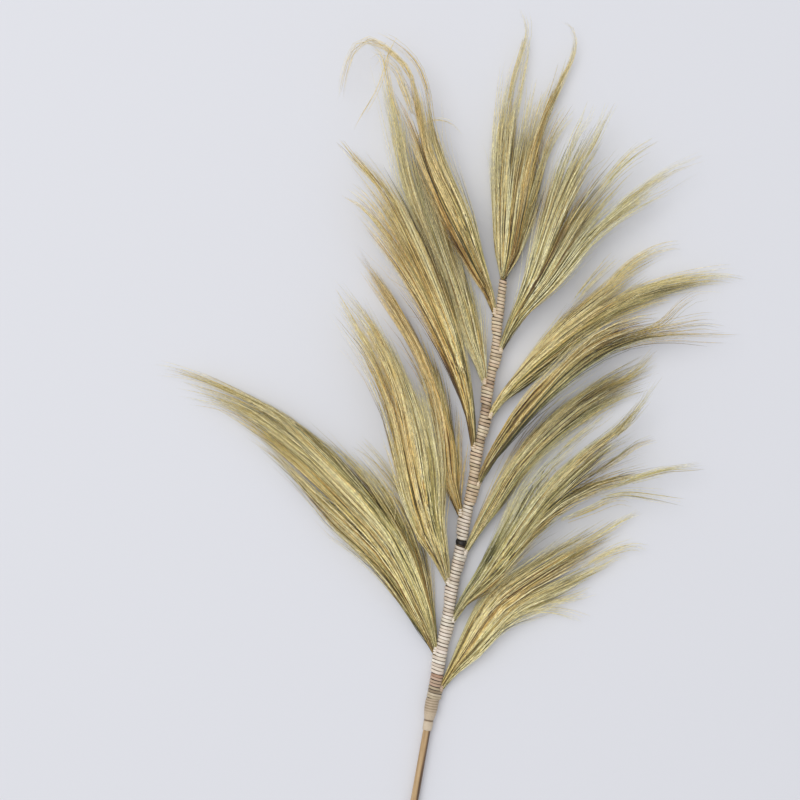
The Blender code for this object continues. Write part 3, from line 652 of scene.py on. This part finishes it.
def woven_noise(place, along, width, draw, streaks):
    """A random number that changes smoothly across a plume and along it."""
    rows, columns = round(width / streaks[0]), streaks[1]
    knots = draw.normal(0, 1, (rows + 2, columns + 2))
    i, j = np.clip(place, 0, 1) * rows, np.clip(along, 0, 1) * columns
    low_i, low_j = i.astype(int), j.astype(int)
    u, v = i - low_i, j - low_j
    near = knots[low_i, low_j] * (1 - u) + knots[low_i + 1, low_j] * u
    far = knots[low_i, low_j + 1] * (1 - u) + knots[low_i + 1, low_j + 1] * u
    return near * (1 - v) + far * v


def look_at(looks, part, across):
    """One part of the looks at the guides, read at these places across the plume."""
    return np.interp(across, np.linspace(-1, 1, len(looks)), [look[part] for look in looks])


def crowd_places(looks, count, draw):
    """Places across a plume, -1 to 1, closer together where its guides are crowded."""
    fine = np.linspace(-1, 1, CROWD_STEPS)
    share = np.cumsum(look_at(looks, CROWD, fine) * np.sqrt(EDGE_ROOM - fine**2))
    return np.interp(draw.uniform(0, share[-1], count), share, fine)


def depth_places(across, draw):
    """Places in the depth of a plume, whose section is round."""
    return draw.uniform(-1, 1, len(across)) * np.sqrt(1 - across**2)


def strand_spans(across, lock, looks, draw):
    """Where each strand starts and ends, as shares of the plume."""
    strands = len(across)
    start = np.where(draw.uniform(0, 1, strands) < STARTS_AT_ROOT, draw.uniform(0, ROOT_START, strands),
                     draw.uniform(FIRST_START, LAST_START, strands))
    reach = draw.normal(LOCK_REACH, REACH_SPREAD, lock.max() + 1)
    longest = look_at(looks, REACH, across) * np.clip(reach, LEAST_REACH, 1.0)[lock]
    end = longest * (1 - THIN_OUT * draw.uniform(0, 1, strands) ** THIN_POWER)
    return start, np.clip(end, start + SHORTEST, 1.0)


def strand_drift(t, along, across, lock, loose, draw):
    """How far each strand strays to its right, ring by ring."""
    locks, strands = lock.max() + 1, len(lock)
    wave = np.sin(2 * math.pi * (draw.uniform(0, 1, locks)[lock, None] + WAVES * along))
    bend = draw.normal(0, LOCK_BEND, locks)[lock, None] + draw.normal(0, STRAND_BEND, strands)[:, None]
    outward = np.sign(across[:, -1]) * np.abs(draw.normal(0, 1, strands)) * loose
    return WAVE * wave * along + BEND * bend * along**3 + FLYAWAY_REACH * outward[:, None] * t**2


def strand_lines(plume, strands, rings, gather, looks, bold, draw):
    """Each strand's line from start to tip, its radii, and where it lies in the plume."""
    locks = strands // LOCK_STRANDS
    lock = np.arange(strands) % locks
    single = draw.uniform(0, 1, strands) < SINGLES
    across = np.where(single, crowd_places(looks, strands, draw), crowd_places(looks, locks, draw)[lock])
    up = np.where(single, depth_places(across, draw), depth_places(across[:locks], draw)[lock])
    up = np.where(bold, np.sign(up) * BOLD_UP * np.sqrt(1 - across**2), up)

    t = np.linspace(0, 1, rings + 1)
    start, end = strand_spans(across, lock, looks, draw)
    along = start[:, None] + (end - start)[:, None] * t
    grown = ease((along - start[:, None]) / EMERGE)
    grown = np.where(start[:, None] < FULL_START, 1, grown)
    spread = LOCK_SPREAD + (LOCK_SPLAY - LOCK_SPREAD) * along
    aside = draw.normal(0, 1, (2, strands, 1))
    across = np.clip(across[:, None] + aside[0] * spread, -OVER_EDGE, OVER_EDGE)
    loose = draw.uniform(0, 1, strands) < FLYAWAYS
    beside = np.sign(across[:, :1]) * draw.uniform(EDGE_START, EDGE_REACH, (strands, 1))
    across = np.where(loose[:, None], beside, across)
    up = np.clip(up[:, None] + aside[1] * spread * ~bold[:, None], -OVER_SKIN, OVER_SKIN)
    gather = np.clip(gather + draw.normal(0, GATHER_SPREAD, locks), 0, 1)[lock]
    gather = np.where(single, LONE_GATHER, gather)[:, None]
    lines = plume.at(across * (START_ACROSS + (1 - START_ACROSS) * grown),
                     up * (START_SHARE + (1 - START_SHARE) * grown), along, gather)

    right, _ = sides_of(unit(np.gradient(lines, axis=1)))
    lines = lines + right * strand_drift(t, along, across, lock, loose, draw)[..., None]
    rise = draw.normal(0, STRAND_RISE, strands)[:, None] * along
    lines[..., 2] += rise + FLYAWAY_RISE * loose[:, None] * t**2
    size = draw.uniform(*STRAND_SIZES, strands) * np.where(loose, FLYAWAY_SIZE, 1)
    radii = np.interp(t, *np.array(STRAND_RADII).T) * size[:, None]
    return lines, radii, along, (across[:, rings // 2] + 1) / 2, lock, up[:, rings // 2]


def strand_tones(name, looks, along, place, lock, up, chance, draw):
    """Warm, light and its chance number for each ring and tip: (strands, rings, 3)."""
    base = np.stack([look_at(looks, part, 2 * place - 1) for part in (WARM, LIGHT)], axis=-1)
    base = base + (draw.normal(0, 1, (lock.max() + 1, 2)) * LOCK_TONES)[lock]
    base = base + draw.normal(0, 1, (len(place), 2)) * STRAND_TONES
    place = place[:, None]
    weave = functools.partial(woven_noise, place, along, PLUME[name].width, draw)
    # slots of painted shade between the strands
    slot = np.clip(weave(SHADE_SLOTS) - SHADE_SLOT_LEVEL, 0, 1)
    warm = base[:, :1] + TIP_WARM * along + STREAK_WARM * weave(STREAKS)
    # partly the grass's own tone, partly painted light and shade between clumps
    light = base[:, 1:] + VALLEY_LIGHT * weave(VALLEYS)
    light = light + STREAK_LIGHT * weave(STREAKS)
    light = light + BASE_LIGHT - SHADE_SLOT_DEPTH * slot + TIP_LIGHT * along**2 - LOW_SHADE * (1 - up[:, None])
    light = light - ROOT_SHADE.get(name, 0) * np.clip(1 - along / ROOT_REACH, 0, 1)
    chance = np.broadcast_to(chance[:, None], along.shape)
    # dark and pale strands: partly their own tone, partly painted shade and painted highlight
    light = light - STRAND_SHADE * (chance < DARK_STRANDS) + STRAND_HIGHLIGHT * (chance > 1 - PALE_STRANDS)
    # the darkest slots of painted shade
    for middle, first, last in DEEP_SHADE_SLOTS.get(name, []):
        inside = ease((along - first) / DEEP_FADE + 0.5) * ease((last - along) / DEEP_FADE + 0.5)
        light = light - DEEP_SHADE * inside * bump((place - middle) / DEEP_WIDTH)
    return np.clip(np.stack([warm, light, chance], axis=-1), 0, 1)


def wisp_lines(plume, wisps, draw):
    """Each wisp strand's line from start to tip, and its radii."""
    t = np.linspace(0, 1, WISP_RINGS + 1)
    lines, radii = [], []
    for count, apart, points in wisps:
        path = curve_through(points, SAMPLES)
        start, end = draw.uniform(0, WISP_START, count), draw.uniform(WISP_END, 1, count)
        along = start[:, None] + (end - start)[:, None] * t
        flat = spaced(along, np.linspace(0, 1, SAMPLES), path)
        ahead = unit(np.gradient(flat, axis=1))
        right = np.stack([ahead[..., 1], -ahead[..., 0]], axis=-1)
        spread = apart * (WISP_ROOT_SHARE + (1 - WISP_ROOT_SHARE) * along)
        aside = spread * draw.normal(0, 1, (count, 1))
        curl = apart * along**3 * draw.normal(0, WISP_CURL, (count, 1))
        flat = flat + right * (aside + curl)[..., None]
        z = plume.height - TIP_DROP * along * (plume.height == HIGH) + draw.normal(0, WISP_RISE, (count, 1))
        lines.append(np.concatenate([flat, z[..., None]], axis=-1))
        radii.append(np.interp(t, *np.array(WISP_RADII).T) * draw.uniform(*WISP_SIZES, (count, 1)))
    return np.concatenate(lines), np.concatenate(radii)


def add_strands(body, lines, radii, tone, first, rows_of_map, draw):
    """Strands as three-sided tubes that end in a point, mapped from this cell on."""
    strands, rings = lines.shape[0], lines.shape[1] - 1
    lines[..., 2] = np.maximum(lines[..., 2], radii)
    right, above = sides_of(unit(np.gradient(lines, axis=1)))
    angles = draw.uniform(0, 2 * math.pi, strands)[:, None, None] + circle(3)
    rows = rounds(lines[:, :-1], radii[:, :-1, None], angles, right[:, :-1], above[:, :-1])
    points = np.concatenate([rows.reshape(strands, -1, 3), lines[:, -1:]], axis=1)
    tone = np.concatenate([np.repeat(tone[:, :-1], 3, axis=1), tone[:, -1:]], axis=1)
    faces, places = tube_faces(rings, 3, pointed=True)
    cells = first + np.arange(strands)
    cell = np.stack([cells % MAP_COLUMNS, cells // MAP_COLUMNS], axis=-1)
    body.add(points, faces, tone, (cell[:, None] + inset(places, STRAND_ROOM)) / (MAP_COLUMNS, rows_of_map))


def add_core(body, plume, rows_of_map):
    """The plume's stalk, and the mass of grass inside it, both dark with painted shade."""
    angles = circle(CORE_SIDES)
    rings = []
    for share in STALK_STATIONS:
        below = plume.depth * share
        _, right, up = cane_frame(plume.root_y - below)
        radius = np.full(CORE_SIDES, plume.stalk_radius(below))
        rings.append(rounds(plume.stalk_at(below), radius, angles, right, up))
    for along, share in CORE:
        across = share * np.cos(angles) * (CORE_ACROSS if along else 1)
        rings.append(plume.at(across, share * np.sin(angles), along))
    body.tube(np.array(rings), CORE_SHADE_TONE, CORE_ROOM, (1 - 1 / rows_of_map, 1))


def grass(name, draw):
    """One plume."""
    slot, strands, rings, gather, looks = LOOKS[name]
    plume = PLUME[name]
    chance = draw.uniform(0, 1, strands)
    bold = (chance < DARK_STRANDS) | (chance > 1 - PALE_STRANDS)
    lines, radii, along, place, lock, up = strand_lines(plume, strands, rings, gather, looks, bold, draw)
    radii = radii * np.where(bold, BOLD, 1)[:, None]
    tone = strand_tones(name, looks, along, place, lock, up, chance, draw)
    thin_lines, thin_radii = wisp_lines(plume, WISPS[name], draw)
    wisps = len(thin_lines)
    warm, light = np.array(looks)[:, [WARM, LIGHT]].mean(axis=0) + WISP_TONE
    thin_tone = (warm, light, 0.5) + draw.normal(0, WISP_TONES, (wisps, 1, 3))
    thin_tone = np.repeat(np.clip(thin_tone, 0, 1), WISP_RINGS + 1, axis=1)
    rows_of_map = math.ceil((strands + wisps) / MAP_COLUMNS) + 1
    body = Body()
    add_strands(body, lines, radii, tone, 0, rows_of_map, draw)
    add_strands(body, thin_lines, thin_radii, thin_tone, strands, rows_of_map, draw)
    add_core(body, plume, rows_of_map)
    body.piece("grass_" + name, slot, ["plume_" + name])


def hull_radius(main, other, apart, angle):
    """How far a belt round two circles lies from the first one's middle.

    The other circle's middle lies this far apart, at angle 0.
    """
    angle = np.abs((angle + math.pi) % (2 * math.pi) - math.pi)
    tangent = np.arccos(np.clip((main - other) / apart, -1, 1))
    touch = np.arctan2(other * np.sin(tangent), apart + other * np.cos(tangent))
    straight = main / np.maximum(np.cos(tangent - angle), LEAST_COSINE)
    inner = np.sqrt(np.maximum(other**2 - (apart * np.sin(angle)) ** 2, 0))
    near = apart * np.cos(angle) + inner
    return np.where(angle < touch, near, np.where(angle < tangent, straight, main))


def wrap_radius(y, angle):
    """The binding's outer radius at y, in the direction of this angle, over the stalks' bulges."""
    t = (WRAP_TOP - y) / (WRAP_TOP - WRAP_END)
    plain = WRAP_TIP_RADIUS + (WRAP_END_RADIUS - WRAP_TIP_RADIUS) * t
    radius = plain
    for plume in PLUME.values():
        if not plume.side:
            continue
        below = plume.root_y - y
        held = ease((below + BULGE_ABOVE) / BULGE_FADE) * (1 - ease((below - plume.depth) / BULGE_FADE))
        stalk = plume.stalk_radius(np.clip(below, 0, plume.depth))
        turned_angle = angle if plume.side > 0 else angle - math.pi
        belt = hull_radius(plain, stalk + STALK_WALL, cane_radius(y) + STALK_CLEAR + stalk, turned_angle)
        radius = np.maximum(radius, plain + (belt - plain) * held)
    return radius


def coil(turns):
    """The angles of a strip's stations over this many turns."""
    return np.linspace(0, 2 * math.pi * turns, round(turns * STRIP_STEPS) + 1)


def add_strip(body, centres, ahead, around, radius, width, warm, light, share):
    """A strip along a coil's stations, domed outwards. around points out from each centre."""
    section = np.array(STRIP_SECTION)
    reach = radius[:, None] + STRIP_THICK * (section[:, 1] - 1)
    points = (centres[:, None] + around[:, None] * reach[..., None]
              + ahead[:, None] * (width[:, None] * section[:, 0] / 2)[..., None])
    count, sides = len(centres), len(section)
    faces, places = tube_faces(count, sides)
    # The map holds the strip turn by turn, one under the other.
    turns = math.ceil((count - 1) / STRIP_STEPS)
    steps = places[:, 1] * (count - 1)
    row = np.minimum(steps.reshape(-1, 3).min(axis=1) // STRIP_STEPS, turns - 1).repeat(3)
    u, v = inset(np.column_stack([steps / STRIP_STEPS - row, places[:, 0]]), STRIP_ROOM).T
    low, high = share
    v = (row + v) / turns * (high - low) + low
    tones = np.clip(np.stack(np.broadcast_arrays(warm, light, 0.5), axis=-1), 0, 1)
    tones = np.repeat(tones, sides, axis=0)
    body.add(points.reshape(1, -1, 3), faces, tones, np.column_stack([u, v])[None])


def add_winding(body, top, end, pitch, draw, share):
    """Close turns of strip round the cane and the stalks, from end up to top."""
    angle = coil((top - end) / pitch - 2 * TURN_START)
    y = end + TURN_START * pitch + angle / (2 * math.pi) * pitch + smooth_noise(angle, draw, *TURN_DRIFT)
    y = np.clip(y, end + TURN_CLEAR * pitch, top - TURN_CLEAR * pitch)
    ahead, right, up = cane_frame(y)
    radius = wrap_radius(y, angle) + smooth_noise(angle, draw, *TURN_LIFT)
    width = STRIP_WIDTH * pitch * (1 + smooth_noise(angle, draw, *WIDTH_DRIFT))
    dark = bump((y - DARK_TURNS_Y) / DARK_TURNS_REACH)
    warm = PLAIN_WARM + smooth_noise(angle, draw, *WARM_DRIFT) + DARK_TURNS_WARM * dark - (y < PINK_END)
    light = STRIP_LIGHT + smooth_noise(angle, draw, *LIGHT_DRIFT) - DARK_TURNS_SHADE * dark
    add_strip(body, cane_at(y), ahead, outwards(angle, right, up), radius, width, warm, light, share)


def cane_rings(y, radii):
    """Rings of points round the cane at y, from their radii (stations, sides)."""
    _, right, up = cane_frame(y)
    return rounds(cane_at(y), radii, circle(radii.shape[1]), right, up)


def add_sleeve(body, top, end, share):
    """A dark tube under the turns: painted shade that shows in the gaps between them."""
    count = max(round((top - end) / SLEEVE_STEP), SLEEVE_LEAST)
    y = np.linspace(end + SLEEVE_END, top - SLEEVE_END, count)
    radii = np.stack([wrap_radius(y, angle) for angle in circle(SLEEVE_SIDES)], axis=-1) - SLEEVE_DEPTH
    body.tube(cane_rings(y, radii), GAP_SHADE_TONE, SLEEVE_ROOM, share)


def add_collar(body, plume, draw, share):
    """A few turns of strip round the foot of a plume, where it leaves the binding."""
    angle = coil(COLLAR_TURNS)
    centres = plume.at(0, 0, (COLLAR_START + COLLAR_LENGTH * angle / angle[-1]) / plume.length)
    ahead = unit(np.gradient(centres, axis=0))
    radius = plume.radius + COLLAR_WALL + smooth_noise(angle, draw, *COLLAR_LIFT)
    width = np.full(len(angle), COLLAR_WIDTH)
    light = COLLAR_LIGHT + smooth_noise(angle, draw, *COLLAR_DRIFT)
    around = outwards(angle, *sides_of(ahead))
    add_strip(body, centres, ahead, around, radius, width, PLAIN_WARM, light, share)


def binding(name, top, end, pitch, slot, draw):
    """One length of the binding, with the collars of the plumes that leave it."""
    body = Body()
    collars = [plume for plume in PLUME.values() if plume.side and end < plume.root_y < top]
    # The map's rows hold the turns, the sleeve and the collars.
    starts = (top - end) / pitch + MAP_ROWS * np.arange(len(collars) + 2)
    rows = starts[-1]
    add_winding(body, top, end, pitch, draw, (0, starts[0] / rows))
    add_sleeve(body, top, end, starts[:2] / rows)
    for k, plume in enumerate(collars, 1):
        add_collar(body, plume, draw, starts[k:k + 2] / rows)
    body.piece("wound_" + name, slot, ["binding_" + name])


def turned(name, y, radii, light, slot, node):
    """A closed piece round the cane: radii and light (stations, sides)."""
    tones = np.full((*radii.shape, 3), PLAIN_WARM)
    tones[..., 1] = np.clip(light, 0, 1)
    body = Body()
    body.tube(cane_rings(y, radii), tones.reshape(-1, 3), TUBE_ROOM)
    body.piece(name, slot, [node])


def sheath(draw):
    """The smooth sheath under the binding, with a dark ring and a paler cuff at its lower end."""
    at, radius = np.array(SHEATH, float).T
    y = np.arange(at[0], at[-1] + SHEATH_STEP / 2, SHEATH_STEP)
    plain = np.interp(y, at, radius)
    for _ in range(SMOOTHINGS):
        plain[1:-1] = (plain[:-2] + 2 * plain[1:-1] + plain[2:]) / 4
    wave = np.cos(2 * math.pi * y / RIDGE_PITCH)
    plain = plain + RIDGE_HEIGHT * wave * (y > at[0] + RIDGE_START)
    uneven = SHEATH_UNEVEN * draw.normal(0, 1, (len(y), 1))
    radii = plain[:, None] + uneven + SHEATH_FLATS * np.cos(3 * circle(SHEATH_SIDES))
    crease = (0.5 - 0.5 * wave) * ease((y - at[0] - CREASE_START) / CREASE_FADE)
    light = SHEATH_LIGHT - RING_SHADE * bump((y - RING_Y) / RING_WIDTH)
    light = light - CREASE_SHADE * crease + CUFF_LIGHT * (y < CUFF_TOP)
    turned("sheath_skin", y, radii, light[:, None], "sheath", "sheath")


def cane():
    """The cane, with one faint node on its bare length."""
    y = np.linspace(CANE_BUTT_Y, CANE_TIP_Y, CANE_RINGS)
    angles, rows = circle(CANE_SIDES), y[:, None]
    node = CANE_NODE_HEIGHT * bump((y - CANE_NODE_Y) / CANE_NODE_LENGTH)
    waver = CANE_WAVER * np.cos(2 * angles + rows / WAVER_TURN) * np.cos(rows / WAVER_FADE)
    radii = (cane_radius(y) + node)[:, None] + waver
    radii[[0, -1]] -= CANE_BEVEL
    light = CANE_LIGHT - NODE_SHADE * bump((rows - CANE_NODE_Y) / NODE_LINE)
    streaks = sum(depth * np.sin(count * angles + rows / turn) for depth, count, turn in CANE_STREAKS)
    # painted shade: the cane is darker on its side away from the light
    dark = CANE_SHADE * ease((np.cos(angles - CANE_SHADED_SIDE) - CANE_SHADE_EDGE) / CANE_SHADE_FADE)
    turned("bare_cane", y, radii, light + streaks - dark, "cane", "cane")


def linear(colour):
    """A colour of 0 to 255 as a screen shows it, in linear light."""
    c = np.array(colour) / 255
    return (*np.where(c <= 0.04045, c / 12.92, ((c + 0.055) / 1.055) ** 2.4), 1.0)


class Shader:
    """A material with a Principled BSDF, and short ways to add nodes to it."""

    def __init__(self, name, roughness, sheen=0.0):
        self.material = bpy.data.materials.new(name)
        self.material.use_nodes = True
        self.nodes, self.links = self.material.node_tree.nodes, self.material.node_tree.links
        self.bsdf = self.nodes["Principled BSDF"]
        self.bsdf.inputs["Roughness"].default_value = roughness
        self.bsdf.inputs["Sheen Weight"].default_value = sheen

    def give(self, socket, value):
        """Set an input, or link it where the value is another node's output."""
        if isinstance(value, bpy.types.NodeSocket):
            self.links.new(value, socket)
        else:
            socket.default_value = value

    def node(self, kind, settings=None, **inputs):
        """A node with these settings and inputs."""
        made = self.nodes.new("ShaderNode" + kind)
        for key, value in (settings or {}).items():
            setattr(made, key, value)
        for key, value in inputs.items():
            self.give(made.inputs[key.replace("_", " ")], value)
        return made

    def tone(self):
        """The mesh's warm, light and random numbers."""
        attribute = self.node("Attribute", {"attribute_name": "tone"})
        parts = self.node("SeparateColor", Color=attribute.outputs["Color"])
        return parts.outputs["Red"], parts.outputs["Green"], parts.outputs["Blue"]

    def shades(self, warm, light, places, *sides):
        """The shades of the cool side and the warm side, at these places of light, mixed."""
        ramps = []
        for colours in sides:
            made = self.node("ValToRGB", Fac=light)
            elements = made.color_ramp.elements
            while len(elements) < len(places):
                elements.new(0.5)
            for element, place, colour in zip(elements, places, colours):
                element.position = place
                element.color = linear(colour)
            ramps.append(made.outputs["Color"])
        return self.mix(warm, *ramps)

    def maths(self, operation, first, second):
        made = self.node("Math", {"operation": operation})
        self.give(made.inputs[0], first)
        self.give(made.inputs[1], second)
        return made.outputs["Value"]

    def mix(self, factor, first, second, blend="MIX"):
        made = self.node("Mix", {"data_type": "RGBA", "blend_type": blend}, Factor=factor)
        self.give(made.inputs[6], first)
        self.give(made.inputs[7], second)
        return made.outputs[2]

    def noise(self, scale, detail, stretch=(1, 1, 1), shift=0.0):
        """Noise in the object's own metres, another one at each value of shift."""
        place = self.node("TexCoord").outputs["Object"]
        mapped = self.node("Mapping", Vector=place, Scale=stretch).outputs["Vector"]
        return self.node("TexNoise", {"noise_dimensions": "4D"}, Vector=mapped, W=shift, Scale=scale,
                         Detail=detail).outputs["Fac"]

    def patterned(self, colour, pattern, depth):
        """The colour, darker and lighter where a pattern is under and over a half."""
        level = self.maths("ADD", 1 - depth / 2, self.maths("MULTIPLY", pattern, depth))
        grey = self.node("CombineColor", Red=level, Green=level, Blue=level).outputs["Color"]
        return self.mix(1.0, colour, grey, "MULTIPLY")

    def finish(self, colour, height, strength, distance):
        self.links.new(colour, self.bsdf.inputs["Base Color"])
        made = self.node("Bump", Height=height, Strength=strength, Distance=distance)
        self.links.new(made.outputs["Normal"], self.bsdf.inputs["Normal"])
        return self.material


def grass_material(name, tint):
    """Dry grass: olive to pale straw where it is cool, and brown to cream where it is warm."""
    shader = Shader(name, *GRASS_FINISH)
    warm, light, seed = shader.tone()
    colour = shader.shades(warm, light, GRASS_SHADES, *GRASS)
    flecks = shader.noise(*FLECKS, shift=shader.maths("MULTIPLY", seed, SEED_REACH))
    colour = shader.patterned(colour, flecks, FLECK_DEPTH)
    colour = shader.mix(TINT_SHARE, colour, linear(tint), "MULTIPLY")
    return shader.finish(colour, shader.noise(*SPECKLE), *GRASS_BUMP)


def strip_material(name, cool, warm, roughness, stretch):
    """A split strip: fibres, blotches, and tones from its cool shades to its warm ones."""
    shader = Shader(name, roughness, STRIP_SHEEN)
    warmth, light, _ = shader.tone()
    colour = shader.shades(warmth, light, STRIP_SHADES, cool, warm)
    fibres = shader.noise(*FIBRES, stretch)
    colour = shader.patterned(colour, fibres, FIBRE_DEPTH)
    colour = shader.patterned(colour, shader.noise(*BLOTCHES), BLOTCH_DEPTH)
    return shader.finish(colour, fibres, *STRIP_BUMP)


def floor():
    """A plain pale floor, just under the branch."""
    mesh = bpy.data.meshes.new("floor")
    half = FLOOR_SIZE / 2
    corners = [(-half, -half), (half, -half), (half, half), (-half, half)]
    mesh.from_pydata([(x, y, -FLOOR_GAP) for x, y in corners], [], [(0, 1, 2, 3)])
    shader = Shader("floor", FLOOR_ROUGHNESS)
    shader.bsdf.inputs["Base Color"].default_value = FLOOR_COLOUR
    mesh.materials.append(shader.material)
    obj = put("floor", mesh)


def area_light(name, place, size, power, colour):
    light = bpy.data.lights.new(name, "AREA")
    light.shape, light.size, light.energy, light.color = "DISK", size, power, colour
    obj = put(name, light)
    obj.location = place
    obj.rotation_mode = "QUATERNION"
    obj.rotation_quaternion = (-obj.location).to_track_quat("-Z", "Y")


def studio():
    """Soft light, mostly from the upper left, and a camera straight above."""
    floor()
    for name, light in LIGHTS.items():
        area_light(name, *light)
    world = bpy.data.worlds.new("studio")
    world.use_nodes = True
    sky = world.node_tree.nodes["Background"]
    sky.inputs["Color"].default_value = SKY
    sky.inputs["Strength"].default_value = SKY_STRENGTH
    bpy.context.scene.world = world
    bpy.context.scene.view_settings.view_transform = "Standard"

    camera = bpy.data.cameras.new("camera")
    camera.lens, camera.sensor_width = LENS, SENSOR
    obj = put("camera", camera)
    middle = FRAME_PIXELS / 2
    x = (middle - CANE_PIXEL[0]) * PIXEL - CENTRE[0]
    y = (CANE_PIXEL[1] - middle) * PIXEL - CENTRE[1]
    distance = FRAME_PIXELS * PIXEL * LENS / SENSOR
    obj.location = (x * MM, y * MM, (SEEN_HEIGHT + distance) * MM)
    bpy.context.scene.camera = obj


PLUME = {name: Plume(*spec) for name, spec in PLUMES.items()}
MATERIALS = {name: grass_material(name, tint) for name, tint in TINTS.items()}
for name, shades in STRIPS.items():
    MATERIALS[name] = strip_material(name, *shades, *(CANE_GRAIN if name == "cane" else STRIP_GRAIN))

studio()
for number, name in enumerate(PLUMES):
    grass(name, np.random.default_rng(PLUME_SEED + number))
for number, spec in enumerate(BINDINGS):
    binding(*spec, np.random.default_rng(BINDING_SEED + number))
sheath(np.random.default_rng(SHEATH_SEED))
cane()
